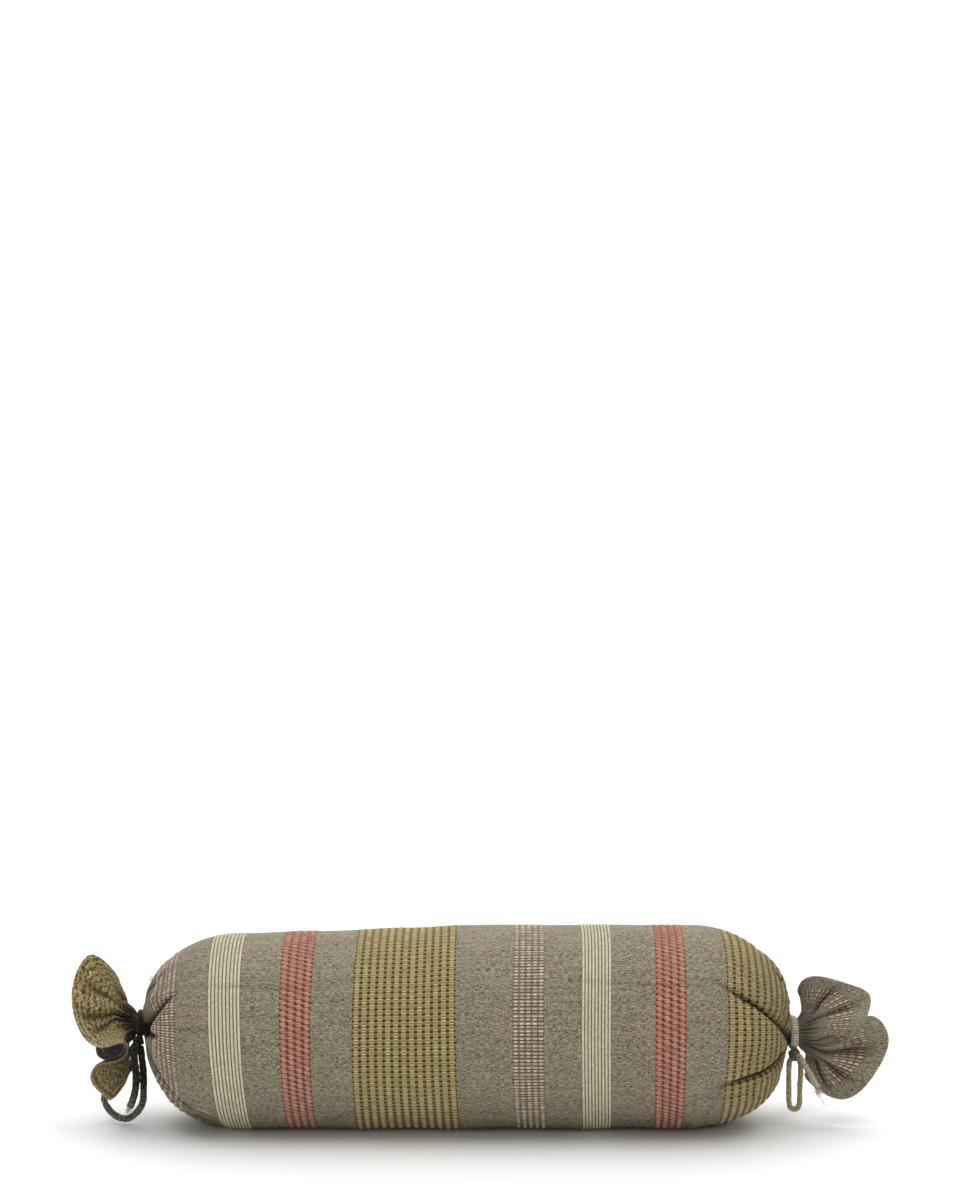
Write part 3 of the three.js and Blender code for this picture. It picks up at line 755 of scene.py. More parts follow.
def flounce_surface(side, columns, shares):
    """The outer and the inner face of a flounce, rings by columns, its cloth's length, and the shade painted
    on it.
    """
    end, wrap, shape = ENDS[side], WRAPS[side], FLOUNCES[side]
    lines, turn = cloth_lines(shape, end, wrap)
    length = float(np.median(lengths_along(lines)[:, -1]))
    around = np.arange(columns) / columns
    level = turn + 360.0 * np.arange(HEM_SIDES) / HEM_SIDES
    turn = spline(level, around * HEM_SIDES, closed=True) - 360.0 * around
    grid = spline(lines, around * HEM_SIDES, closed=True)
    grid = spline(grid.transpose(1, 0, 2), shares * WALL_RINGS)
    normal = outward(grid)
    along = shares[:, None]
    fade = smooth(along * GATHER["start"]) * (1.0 - smooth(along / GATHER["fade"]))
    angle = around[None, :] * GATHER["folds"] * 2.0 * math.pi
    small = np.cos(2.0 * angle + 3.0 * np.sin(angle / 5.0))
    pressed = fade * (GATHER["depth"] * np.cos(angle) + GATHER["small"] * small)
    painted_neck_shade, painted_fold_shade = SHADED[side]
    shade = painted_neck_shade * (GATHER["dark"] * fade * clamp(small, 0.0, 1.0) + 1.0 - smooth(along / NECK_FADE))
    for at, depth, width, reach in shape["folds"]:
        held = smooth(along * FOLD["start"]) * (1.0 - smooth((along - reach) / (1.0 - reach)))
        off = turn_between(turn, at)
        pressed = pressed + depth * held * dip(off, width)[None, :]
        shade = shade + painted_fold_shade * held * dip(off, width * FOLD["dark_width"])[None, :]
    wave = np.sin(angle * PUCKER["folds"] + along * PUCKER["lean"] + 2.0 * np.sin(angle * PUCKER["sway"]))
    held = smooth(along * PUCKER["start"]) * (1.0 - smooth((along - PUCKER["stop"]) / PUCKER_FADE))
    stretch = np.gradient(grid, axis=0) / np.gradient(shares * length)[:, None, None]
    grid = grid + stretch * (PUCKER["shift"] * held * wave)[..., None]
    half = mix(HEM, CLOTH, smooth(((1.0 - along) * length - HEM_WIDTH) / HEM_STEP)) / 2.0
    bunched = (end["neck_radius"] - CLOTH) * (1.0 - smooth(along * length / BUNCHED))
    outer = grid - normal * (pressed - half)[..., None]
    inner = grid - normal * (pressed + half + bunched)[..., None]
    return outer, inner, length, clamp(shade, 0.0, DARKEST_FOLD)


# Materials.
def linear(red, green, blue):
    """A colour of the screen, 0 to 255, as the shader wants it."""
    parts = [value / 255.0 for value in (red, green, blue)]
    return tuple(part / 12.92 if part <= 0.04045 else ((part + 0.055) / 1.055) ** 2.4 for part in parts)


class Value:
    """A socket that takes part in Python sums: each sum adds its Math node."""

    def __init__(self, nodes, socket):
        self.nodes = nodes
        self.socket = socket

    def __add__(self, other):
        return self.nodes.sum("ADD", self, other)

    def __radd__(self, other):
        return self.nodes.sum("ADD", other, self)

    def __sub__(self, other):
        return self.nodes.sum("SUBTRACT", self, other)

    def __rsub__(self, other):
        return self.nodes.sum("SUBTRACT", other, self)

    def __mul__(self, other):
        return self.nodes.sum("MULTIPLY", self, other)

    def __rmul__(self, other):
        return self.nodes.sum("MULTIPLY", other, self)

    def __truediv__(self, other):
        return self.nodes.sum("DIVIDE", self, other)

    def __rtruediv__(self, other):
        return self.nodes.sum("DIVIDE", other, self)

    def __abs__(self):
        return self.nodes.sum("ABSOLUTE", self)

    def __pow__(self, other):
        return self.nodes.sum("POWER", self, other)

    def floor(self):
        return self.nodes.sum("FLOOR", self)

    def part(self):
        """What is left over a whole number."""
        return self.nodes.sum("FRACT", self)

    def sine(self):
        return self.nodes.sum("SINE", self)

    def least(self, other):
        return self.nodes.sum("MINIMUM", self, other)

    def most(self, other):
        return self.nodes.sum("MAXIMUM", self, other)

    def ease(self, low, high):
        """0 at low, 1 at high, smooth between; low may be the larger."""
        settings = {"interpolation_type": "SMOOTHSTEP"}
        inputs = {"Value": self, "From Min": low, "From Max": high}
        return self.nodes.add("ShaderNodeMapRange", settings, inputs)


class Nodes:
    """Adds nodes to one tree."""

    def __init__(self, tree):
        self.tree = tree

    def add(self, kind, settings=None, inputs=None, output=0):
        """A node with its settings first, then its sockets' values or links; gives one of its outputs."""
        node = self.tree.nodes.new(kind)
        for name, value in (settings or {}).items():
            setattr(node, name, value)
        for name, value in (inputs or {}).items():
            socket = node.inputs[name]
            if isinstance(value, Value):
                self.tree.links.new(value.socket, socket)
            else:
                socket.default_value = value
        return Value(self, node.outputs[output]) if len(node.outputs) else node

    def sum(self, operation, *values):
        return self.add("ShaderNodeMath", {"operation": operation}, dict(enumerate(values)))

    def blend(self, share, low, high):
        """One colour over another by a share."""
        settings = {"data_type": "RGBA", "clamp_factor": True}
        low, high = (value if isinstance(value, Value) else (*value, 1.0) for value in (low, high))
        return self.add("ShaderNodeMix", settings, {0: share, 6: low, 7: high}, 2)

    def shade(self, colour, value):
        """A colour made lighter or darker by a factor."""
        settings = {"operation": "SCALE"}
        return self.add("ShaderNodeVectorMath", settings, {0: colour, "Scale": value})

    def vector(self, x, y, z=0.0):
        return self.add("ShaderNodeCombineXYZ", None, {"X": x, "Y": y, "Z": z})

    def noise(self, vector, scale, detail=2.0, rough=0.5):
        inputs = {"Vector": vector, "Scale": scale, "Detail": detail, "Roughness": rough}
        return self.add("ShaderNodeTexNoise", {"noise_dimensions": "2D"}, inputs)

    def chance(self, vector):
        """A random number for each whole place."""
        return self.add("ShaderNodeTexWhiteNoise", {"noise_dimensions": "3D"}, {"Vector": vector})


class ClothMaps:
    """The places that a weave is drawn by: millimetres of cloth, and its ribs and rows."""

    def __init__(self, nodes):
        self.nodes = nodes
        cloth = nodes.add("ShaderNodeUVMap", {"uv_map": "Cloth"})
        weave = nodes.add("ShaderNodeUVMap", {"uv_map": "Weave"})
        self.cloth = cloth
        self.u = nodes.add("ShaderNodeSeparateXYZ", None, {"Vector": cloth})
        self.v = nodes.add("ShaderNodeSeparateXYZ", None, {"Vector": cloth}, 1)
        self.rib = nodes.add("ShaderNodeSeparateXYZ", None, {"Vector": weave})
        self.row = nodes.add("ShaderNodeSeparateXYZ", None, {"Vector": weave}, 1)

    def fibres(self):
        """Streaks of single yarns, along and across the cloth, about 0 to 1."""
        weft = self.nodes.noise(self.nodes.vector(self.u * 0.22, self.v * 0.95), 1.0, 3.0, 0.8)
        warp = self.nodes.noise(self.nodes.vector(self.u * 1.0 + 40.0, self.v * 0.4), 1.0, 3.0, 0.8)
        return (weft * 0.62 + warp * 0.38).ease(0.42, 0.58)

    def clouds(self, scale=0.06):
        """Slow changes of tone over the cloth."""
        return self.nodes.noise(self.cloth, scale, 2.0, 0.5).ease(0.3, 0.7)


def plain_weave(nodes, maps, pitch):
    """Height of a plain weave, threads over and under one another, 0 to 1."""
    warp = (maps.u * (2.0 * math.pi / pitch)).sine()
    weft = (maps.v * (2.0 * math.pi / pitch)).sine()
    return warp * weft * 0.5 + 0.5


def grey_weave(nodes, maps, yarns):
    fibres, clouds = maps.fibres(), maps.clouds()
    tint = nodes.blend(maps.clouds(0.05), yarns.grey_rosy, yarns.grey_green)
    flecks = nodes.noise(nodes.vector(maps.u * 0.7, maps.v * 1.0), 1.0, 2.0, 0.8).ease(0.58, 0.70)
    bands = nodes.noise(nodes.vector(maps.u * 0.022, maps.v * 0.22), 1.0, 3.0, 0.6).ease(0.34, 0.66)
    colour = nodes.shade(tint, fibres * 1.10 + bands * 0.22 + clouds * 0.06 + 0.24)
    colour = nodes.blend(flecks * 0.6, colour, yarns.cream)
    return colour, fibres * 0.8 + flecks * 0.2


def olive_weave(nodes, maps, yarns):
    """Waffle: raised ribs with two floats to a row, and a pit between ribs at each row. Shade is painted into
    the pits, and faintly along the ribs' edges.
    """
    across, row = maps.rib.part(), maps.row
    middle = abs(across - 0.5)
    bowed = row + middle * middle * 0.5
    pit = (0.5 - middle).ease(0.29, 0.13) * abs(row.part() - 0.5).ease(0.34, 0.18)
    floats = abs((bowed * 2.0).part() - 0.5).ease(0.36, 0.08) * middle.ease(0.40, 0.28)
    seam = (0.5 - middle).ease(0.22, 0.05)
    lot = nodes.vector(maps.rib.floor(), (row * 2.0).floor(), 3.0)
    luck = nodes.chance(lot)
    stripe = nodes.chance(nodes.vector(maps.rib.floor(), 1.0, 8.0))
    fibres, clouds = maps.fibres(), maps.clouds(0.09)
    base = nodes.blend(stripe * 0.5 + clouds * 0.5, yarns.olive_brown, yarns.olive_green)
    base = nodes.shade(base, (fibres * 0.40 + 0.85) * (1.0 - seam * 0.10))
    lit = nodes.blend(floats * (luck * 0.6 + 0.4), base, yarns.olive_light)
    colour = nodes.blend(pit * 0.92, lit, yarns.olive_pit_shade)
    rib = 1.0 - middle * middle * 4.0
    return colour, rib * 0.15 + floats * 0.35 - pit * 0.45 + fibres * 0.15 + 0.35


def ruffled_weave(nodes, maps, yarns):
    """The olive waffle where gathers push its ribs and rows about."""
    maps.rib = maps.rib + nodes.noise(maps.cloth, 0.12, 1.0, 0.5) * 1.3
    maps.row = maps.row + nodes.noise(nodes.vector(maps.u + 70.0, maps.v), 0.10, 1.0, 0.5) * 1.8
    colour, height = olive_weave(nodes, maps, yarns)
    worn = nodes.noise(maps.cloth, 0.45, 3.0, 0.7).ease(0.42, 0.62)
    return nodes.shade(nodes.blend(worn * 0.45, colour, nodes.shade(yarns.olive_brown, 0.55)), 1.08), height


def dotted_weave(nodes, maps, yarns):
    """Rows of light knots on a brown ground, a strong row and a weak one, with dark lines between."""
    across, along = maps.rib.part(), maps.row.part()
    middle = abs(across - 0.5)
    wide = middle.ease(0.46, 0.22)
    strong = abs(along - 0.80).ease(0.19, 0.08) * wide
    weak = abs(along - 0.36).ease(0.16, 0.05) * wide
    line = abs(along - 0.585).ease(0.11, 0.04).most(abs(along - 0.13).ease(0.09, 0.02) * 0.8)
    luck = nodes.chance(nodes.vector(maps.rib.floor(), (maps.row * 2.0).floor(), 5.0))
    fibres = maps.fibres()
    ground = nodes.blend(maps.clouds(0.12), yarns.dots_brown, yarns.dots_ground)
    ground = nodes.shade(ground, fibres * 0.3 + 0.85)
    lined = nodes.blend(line * 0.85, ground, yarns.dots_dark)
    knots = strong * (luck * 0.45 + 0.55) + weak * (luck * 0.45 + 0.15)
    colour = nodes.blend(knots, lined, yarns.dots_light)
    return colour, knots * 0.7 - line * 0.3 + fibres * 0.15 + 0.3


def cream_weave(nodes, maps, yarns):
    """Round cords of twisted yarn that run round the cushion, on the grey ground, with shade painted between
    the cords and in their twists.
    """
    across, row = maps.rib.part(), maps.row
    middle = abs(across - 0.5)
    cord = middle.ease(0.41, 0.30)
    twist = (row + across * 0.9).part()
    luck = nodes.chance(nodes.vector(maps.rib.floor(), (row + across * 0.9).floor(), 4.0))
    dash = abs(twist - 0.5).ease(0.46, 0.16) * (luck * 0.35 + 0.65)
    fibres = maps.fibres()
    ground = nodes.shade(yarns.cream_gap, fibres * 0.3 + 0.82)
    yarn = nodes.blend(dash, yarns.cream_dark, yarns.cream)
    colour = nodes.blend(cord, ground, yarn)
    round_cord = 1.0 - (middle * 2.4).least(1.0) ** 2.0
    return colour, round_cord * (dash * 0.35 + 0.65)


def pink_weave(nodes, maps, yarns):
    """Honeycomb: lozenges set like bricks, with painted highlight on the upper edge and painted shade in the
    corners.
    """
    column = maps.rib.floor()
    across = maps.rib.part() - 0.5
    shifted = maps.row + (column * 0.5).part() + across * 0.45
    along = shifted.part() - 0.5
    away = (abs(across / 0.50) ** 1.6 + abs(along / 0.46) ** 1.6) ** 0.625
    luck = nodes.chance(nodes.vector(column, shifted.floor(), 7.0))
    corner = away.ease(0.94, 1.14) * (luck * 0.4 + 0.6)
    strokes = abs((along * 2.6 - across * across * 2.2 + luck * 0.6).part() - 0.5).ease(0.34, 0.06)
    strokes = strokes * away.ease(1.02, 0.72)
    fibres = maps.fibres()
    base = nodes.blend(fibres * 0.6 + luck * 0.4, yarns.pink_deep, yarns.pink)
    lit = nodes.blend(strokes * (luck * 0.4 + 0.45), base, yarns.pink_light)
    colour = nodes.blend(corner, lit, yarns.pink_corner_shade)
    return colour, (1.0 - away.least(1.0) ** 2.0) * 0.35 + strokes * 0.35 - corner * 0.25 + 0.25


PAINTS = {
    "grey": (grey_weave, 0.00035),
    "olive": (olive_weave, 0.0012),
    "ruffled": (ruffled_weave, 0.0012),
    "dotted": (dotted_weave, 0.0008),
    "cream": (cream_weave, 0.0009),
    "pink": (pink_weave, 0.0009),
}


def matt_cloth(name, draw, relief):
    """A matt cloth material from a colour and a height, darkened by the piece's painted shade, warmer as it
    darkens.
    """
    material = bpy.data.materials.new(name)
    material.use_nodes = True
    tree = material.node_tree
    tree.nodes.clear()
    nodes = Nodes(tree)
    colour, height = draw(nodes)
    dark = nodes.add("ShaderNodeAttribute", {"attribute_name": "shade"}, None, 2)
    left = 1.0 - dark
    tone = nodes.vector(left**1.45, left**1.6, left**1.8)
    colour = nodes.add("ShaderNodeVectorMath", {"operation": "MULTIPLY"}, {0: colour, 1: tone})
    bump = nodes.add("ShaderNodeBump", None, {"Strength": 1.0, "Distance": relief, "Height": height})
    inputs = {
        "Base Color": colour,
        "Roughness": 0.92,
        "Specular IOR Level": 0.18,
        "Sheen Weight": 0.12,
        "Sheen Roughness": 0.5,
        "Normal": bump,
    }
    surface = nodes.add("ShaderNodeBsdfPrincipled", None, inputs)
    nodes.add("ShaderNodeOutputMaterial", None, {"Surface": surface})
    return material


def weave_material(weave):
    """The material of one weave, made once."""
    name = f"{weave} weave"
    paint, relief = PAINTS[weave]
    yarns = bpy.context.scene.bolster_yarns

    def draw(nodes):
        return paint(nodes, ClothMaps(nodes), yarns)

    return bpy.data.materials.get(name) or matt_cloth(name, draw, relief)


# The pieces.
NAMES = ("left", "right")
FLOUNCE_COLUMNS = 440
FINER = {"roll": 2, "flounce": 3}
EASED_RINGS = 6.0  # rings at each neck over which the cover's fine relief sets in
CLOSER_RIBS = 1.15  # the gathers draw a flounce's ribs together
# The shade painted inside a flounce, at its neck and at its hem, and the shade painted over the whole of it.
POCKET_SHADE = {"left": (0.92, 0.80), "right": (0.55, 0.10)}
UNLIT = {"left": 0.04, "right": 0.0}
DARKEST_POCKET = 0.93
ROWS_SHOWN = 2.0 / 3.0  # the share of a flounce's rows that its gathers leave in sight


def finer(lines, gaps, parts):
    """The same lines and gaps with each gap parted."""
    places = np.interp(np.arange((len(lines) - 1) * parts + 1) / parts, np.arange(len(lines)), lines)
    shares = [(k / parts, (k + 1) / parts) for k in range(parts)]
    split = [(weave, mix(a, b, low), mix(a, b, high)) for weave, a, b in gaps for low, high in shares]
    return places, split


def weave_materials(gaps):
    return {weave: weave_material(weave) for weave in dict.fromkeys(weave for weave, _, _ in gaps)}


def make_roll():
    start, stop = (neck_place(ENDS[name]) + ENDS[name]["side"] * WRAPS[name]["half"] for name in NAMES)
    lines, gaps = stripe_lines(ROLL_STRIPES, start, stop)
    share = np.arange(COLUMNS) / COLUMNS
    turn = turns_of(share)[None, :]
    surface = roll_surface(lines[:, None], turn)
    surface = settle_cloth(surface, share, fine_relief(leaned(lines[:, None], turn), turn)[1])
    parts = FINER["roll"]
    surface = spline(surface, np.arange((len(lines) - 1) * parts + 1) / parts)
    around = np.arange(COLUMNS * parts) / parts
    surface = spline(surface.transpose(1, 0, 2), around, closed=True).transpose(1, 0, 2)
    places, gaps = finer(lines, gaps, parts)
    turns = around / COLUMNS
    turn = turns_of(turns)[None, :]
    depth, shade = fine_relief(leaned(places[:, None], turn), turn)
    depth = depth * smooth(steps_from_ends(len(places)) / EASED_RINGS)[:, None]
    surface = surface - outward(surface) * depth[..., None]
    surface[..., 2] = np.maximum(surface[..., 2], 0.0)
    made = woven_mesh("bolster_cover", surface, places, gaps, turns, weave_materials(gaps), shade)
    make_floats(made, surface, places, shade)
    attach(made, BODY)
    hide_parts("roll")


def ring_length(ring):
    return float(np.linalg.norm(np.roll(ring, -1, axis=0) - ring, axis=-1).sum())


def make_flounce(side):
    end, wrap = ENDS[side], WRAPS[side]
    length = flounce_surface(side, HEM_SIDES, np.array([0.0, 1.0]))[2]
    lines, gaps = stripe_lines(FLOUNCE_STRIPES[side], 0.0, 1.0, length * CLOSER_RIBS)
    shares, gaps = finer(lines, gaps, FINER["flounce"])
    outer, inner, length, dark = flounce_surface(side, FLOUNCE_COLUMNS, shares)
    stub = outer[0].copy()
    stub[:, 0] = 0.0
    hem = (outer[-1] + inner[-1]) / 2.0
    onward = unit(hem - (outer[-2] + inner[-2]) / 2.0)
    hem = hem + onward * HEM / 2.0
    rings = np.concatenate([stub[None], outer, hem[None], inner[::-1]])
    edge = (length + HEM / 2.0) / length
    places = np.concatenate([[-wrap["half"] / length], shares, [edge], 2.0 * edge - shares[::-1]]) * length
    weave, _, last = gaps[-1]
    turned = [(kind, b, a) for kind, a, b in gaps[::-1]]
    gaps = [(gaps[0][0], 0.0, 0.5)] + gaps + [(weave, last, last), (weave, last, last)] + turned
    turns = np.arange(FLOUNCE_COLUMNS) / FLOUNCE_COLUMNS
    # The inner face takes more painted shade, from its neck to its hem.
    pocket_shade = dark + mix(*POCKET_SHADE[side], smooth((shares[:, None] - 0.5) / 0.5))
    shade = np.concatenate([dark[:1], dark, dark[-1:], pocket_shade[::-1]]) + UNLIT[side]
    shade = clamp(shade, 0.0, DARKEST_POCKET)
    points = placed(rings, end, wrap)
    name = f"flounce_cloth_{side}"
    made = woven_mesh(name, points, places, gaps, turns, weave_materials(gaps), shade, ROWS_SHOWN)
    make_hem(made, side, outer, inner, shares, length)
    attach(made, BODY)
    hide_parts(f"flounce_{side}")
    area = sum(face.area for face in made.data.polygons) / 2.0
    ring_length(outer[-1])


# Stitches, floats and loose threads: each kind is one small rounded yarn, set on many points. A size is a
# length, a width and a height.
YARN_SEED = 7
LENGTHS = (0.8, 1.2)  # the shortest and the longest yarn of a kind, over its length
LEAST_TINT = 0.3
YARN_GRAIN = 1400.0  # how fine a yarn's fibres are, by the metre
YARN_RELIEF = 0.0001
# The raised yarns of each weave: where they lie in a row of a rib, how far a rib is shifted against the one
# before, their size, how far along the rib they lean, and their two colours.
FLOATS = {
    "olive": {
        "at": (0.25, 0.75),
        "shift": 0.0,
        "size": (0.0046, 0.0013, 0.0010),
        "lean": 0.0,
        "yarns": ("olive_green", "olive_light"),
    },
    "dotted": {
        "at": (0.80, 0.36),
        "shift": 0.0,
        "size": (0.0037, 0.0021, 0.0013),
        "lean": 0.35,
        "yarns": ("dots_ground", "dots_light"),
    },
    "cream": {
        "at": (0.5,),
        "shift": 0.0,
        "size": (0.0034, 0.0015, 0.0013),
        "lean": 1.25,
        "yarns": ("cream_dark", "cream"),
    },
    "pink": {
        "at": (0.28, 0.72),
        "shift": 0.5,
        "size": (0.0050, 0.0015, 0.0011),
        "lean": 0.35,
        "yarns": ("pink_deep", "pink_light"),
    },
}
FLOAT_LIFT = 0.0001
LEAST_HEIGHT = 0.0022  # no float lies lower, where the roll rests
MOST_DARK = 0.75  # no float lies in a darker fold


def yarn_tree():
    """Geometry Nodes that set one small rounded yarn on each point, turned as the point's values say."""
    tree = bpy.data.node_groups.get("yarns on points")
    if tree:
        return tree
    tree = bpy.data.node_groups.new("yarns on points", "GeometryNodeTree")
    tree.interface.new_socket("Geometry", in_out="OUTPUT", socket_type="NodeSocketGeometry")
    kinds = {"Geometry": "Geometry", "Length": "Float", "Width": "Float", "Height": "Float"}
    kinds.update({"Sides": "Int", "Seed": "Int", "Material": "Material"})
    for label, kind in kinds.items():
        tree.interface.new_socket(label, in_out="INPUT", socket_type=f"NodeSocket{kind}")
    nodes = Nodes(tree)
    group = tree.nodes.new("NodeGroupInput")
    given = {socket.name: Value(nodes, socket) for socket in group.outputs if socket.name}
    points = nodes.add("GeometryNodeMeshToPoints", None, {"Mesh": given["Geometry"]})
    ball = {"Segments": given["Sides"], "Rings": 3, "Radius": 0.5}
    ball = nodes.add("GeometryNodeMeshUVSphere", None, ball)
    vector = {"data_type": "FLOAT_VECTOR"}
    out = nodes.add("GeometryNodeInputNamedAttribute", vector, {"Name": "out"})
    ahead = nodes.add("GeometryNodeInputNamedAttribute", vector, {"Name": "ahead"})
    upright = nodes.add("FunctionNodeAlignRotationToVector", {"axis": "Z"}, {"Vector": out})
    turned = {"axis": "X", "pivot_axis": "Z"}
    turned = nodes.add("FunctionNodeAlignRotationToVector", turned, {"Rotation": upright, "Vector": ahead})
    between = {2: LENGTHS[0], 3: LENGTHS[1], "Seed": given["Seed"]}
    longer = nodes.add("FunctionNodeRandomValue", {"data_type": "FLOAT"}, between, 1)
    size = nodes.vector(given["Length"] * longer, given["Width"], given["Height"])
    set_on = {"Points": points, "Instance": ball, "Rotation": turned, "Scale": size}
    placed_yarns = nodes.add("GeometryNodeInstanceOnPoints", None, set_on)
    real = nodes.add("GeometryNodeRealizeInstances", None, {"Geometry": placed_yarns})
    round_yarns = nodes.add("GeometryNodeSetShadeSmooth", None, {"Geometry": real})
    finished = {"Geometry": round_yarns, "Material": given["Material"]}
    finished = nodes.add("GeometryNodeSetMaterial", None, finished)
    tree.links.new(finished.socket, tree.nodes.new("NodeGroupOutput").inputs["Geometry"])
    return tree


def yarn_material(name, low, high):
    """Yarn of a colour between two, by each yarn's tint."""
    material = bpy.data.materials.get(name)
    if material:
        return material

    def draw(nodes):
        place = nodes.add("ShaderNodeTexCoord", None, None, 3)
        tint = nodes.add("ShaderNodeAttribute", {"attribute_name": "tint"}, None, 2)
        fibres = nodes.noise(nodes.shade(place, YARN_GRAIN), 1.0, 2.0, 0.6).ease(0.3, 0.7)
        return nodes.shade(nodes.blend(tint, low, high), fibres * 0.24 + 0.88), fibres

    return matt_cloth(name, draw, YARN_RELIEF)


def yarns_on(name, at, ahead, out, shade, size, material, sides=5):
    """One plain mesh of small rounded yarns, one on each point."""
    mesh = bpy.data.meshes.new(name)
    mesh.from_pydata(at.tolist(), [], [])
    for label, values in (("ahead", ahead), ("out", out)):
        mesh.attributes.new(label, "FLOAT_VECTOR", "POINT").data.foreach_set("vector", values.ravel())
    tint = mix(LEAST_TINT, 1.0, np.random.default_rng(YARN_SEED).random(len(at)))
    for label, values in (("shade", shade), ("tint", tint)):
        mesh.attributes.new(label, "FLOAT", "POINT").data.foreach_set("value", values)
    made = bpy.data.objects.new(name, mesh)
    bpy.context.scene.collection.objects.link(made)
    modifier = made.modifiers.new("yarns", "NODES")
    tree = yarn_tree()
    modifier.node_group = tree
    values = {"Length": size[0], "Width": size[1], "Height": size[2], "Sides": sides, "Seed": YARN_SEED}
    values["Material"] = material
    for socket in tree.interface.items_tree:
        if socket.in_out == "INPUT" and socket.name in values:
            modifier[socket.identifier] = values[socket.name]
    shaped = made.evaluated_get(bpy.context.evaluated_depsgraph_get())
    plain = bpy.data.meshes.new_from_object(shaped)
    made.modifiers.clear()
    made.data = plain
    bpy.data.meshes.remove(mesh)
    return made


def sampled(surface, places, place, share):
    """Values of a surface of rings at places along it and shares of a turn."""
    row = np.interp(place, places, np.arange(len(places)))
    column = (share % 1.0) * surface.shape[1]
    i = np.minimum(row.astype(int), len(places) - 2)
    j = column.astype(int) % surface.shape[1]
    s, t = (row - i)[:, None], (column - np.floor(column))[:, None]
    after = (j + 1) % surface.shape[1]
    return mix(mix(surface[i, j], surface[i + 1, j], s), mix(surface[i, after], surface[i + 1, after], s), t)


def float_places(places):
    """Where the floats of each weave lie: pairs of places along the cloth and shares of a turn."""
    found = {}
    start = places[0]
    for weave, edge in ROLL_STRIPES:
        stop = places[-1] if edge is None else edge
        if weave in FLOATS:
            kind, rows = FLOATS[weave], WEAVES[weave]["rows"]
            ribs = round((stop - start) / WEAVES[weave]["rib"])
            rib, row = np.meshgrid(np.arange(ribs), np.arange(rows))
            place = mix(start, stop, (rib + 0.5) / ribs).ravel()
            for at in kind["at"]:
                share = (row + at - (rib * kind["shift"]) % 1.0) / rows
                found.setdefault(weave, []).append((place, share.ravel()))
        start = stop
    return found


def make_floats(cover, surface, places, shade):
    """The raised yarns of the woven stripes, as pieces that go with the roll's cover."""
    yarns = bpy.context.scene.bolster_yarns
    out = outward(surface)
    along = unit(np.gradient(surface, axis=0))
    for weave, parts in float_places(places).items():
        kind = FLOATS[weave]
        place, share = (np.concatenate(values) for values in zip(*parts))
        at = sampled(surface, places, place, share)
        side = sampled(out, places, place, share)
        ahead = sampled(along, places, place, share)
        ahead = ahead + kind["lean"] * np.cross(side, ahead)
        dark = sampled(shade[..., None], places, place, share)[:, 0]
        kept = (at[:, 2] > LEAST_HEIGHT) & (dark < MOST_DARK)
        low, high = (getattr(yarns, name) for name in kind["yarns"])
        material = yarn_material(f"{weave} floats", low, high)
        values = (values[kept] for values in (at + side * FLOAT_LIFT, ahead, side, dark))
        made = yarns_on(f"{weave}_floats", *values, kind["size"], material)
        made.parent = cover


# The hem's stitches, and the short fibres that stand out from its edge.
STITCH = {"pitch": 0.0032, "size": (0.0021, 0.0006, 0.0006), "sides": 5}
FUZZ = {"count": 900, "size": (0.0026, 0.00022, 0.00022), "sides": 3, "spread": 0.8}
HEM_UNLIT = 0.1  # how much more shade is painted on the hem's yarns than on its flounce
ASKEW = {"fibres": (0.3, 0.2, 0.9), "threads": (0.3, 0.9, 0.2)}  # a way that few yarns of a kind point


def hem_stitches(outer, inner, shares, length):
    """Where stitches lie on both faces of the hem, the way each points, and the way out of its face."""
    count = round(ring_length(outer[-1]) / STITCH["pitch"])
    place = np.full(count, 1.0 - HEM_WIDTH / length)
    share = np.arange(count) / count
    parts = []
    for face, way in ((outer, 1.0), (inner, -1.0)):
        round_it = unit(np.roll(face, -1, axis=1) - np.roll(face, 1, axis=1))
        parts.append([sampled(grid, shares, place, share) for grid in (face, round_it, outward(face) * way)])
    return [np.concatenate(values) for values in zip(*parts)]


def hem_fibres(outer, inner, shares):
    """Where fibres stand out from the hem's edge, and the way each points."""
    chance = np.random.default_rng(YARN_SEED)
    share = chance.random(FUZZ["count"])
    place = np.ones(FUZZ["count"])
    edge = (sampled(outer, shares, place, share) + sampled(inner, shares, place, share)) / 2.0
    onward = sampled(unit(np.gradient(outer, axis=0)), shares, place, share)
    onward = unit(onward + FUZZ["spread"] * chance.normal(size=onward.shape))
    return edge + onward * HEM / 2.0, onward


def make_hem(cloth, side, outer, inner, shares, length):
    """The hem's stitches and fibres, as pieces that go with the flounce's cloth."""
    end, wrap = ENDS[side], WRAPS[side]
    yarns = bpy.context.scene.bolster_yarns
    material = yarn_material("hem thread", yarns.grey_green, yarns.cream)
    at, ahead, out = hem_stitches(outer, inner, shares, length)
    edge, onward = hem_fibres(outer, inner, shares)
    onward = placed_way(onward, end)
    kinds = (
        ("stitches", STITCH, at, placed_way(ahead, end), placed_way(out, end)),
        ("fibres", FUZZ, edge, onward, unit(np.cross(onward, ASKEW["fibres"]))),
    )
    for name, kind, points, ways, sides in kinds:
        unlit = np.full(len(points), UNLIT[side] + HEM_UNLIT)
        row = placed(points, end, wrap), ways, sides, unlit
        made = yarns_on(f"hem_{name}_{side}", *row, kind["size"], material, kind["sides"])
        made.parent = cloth


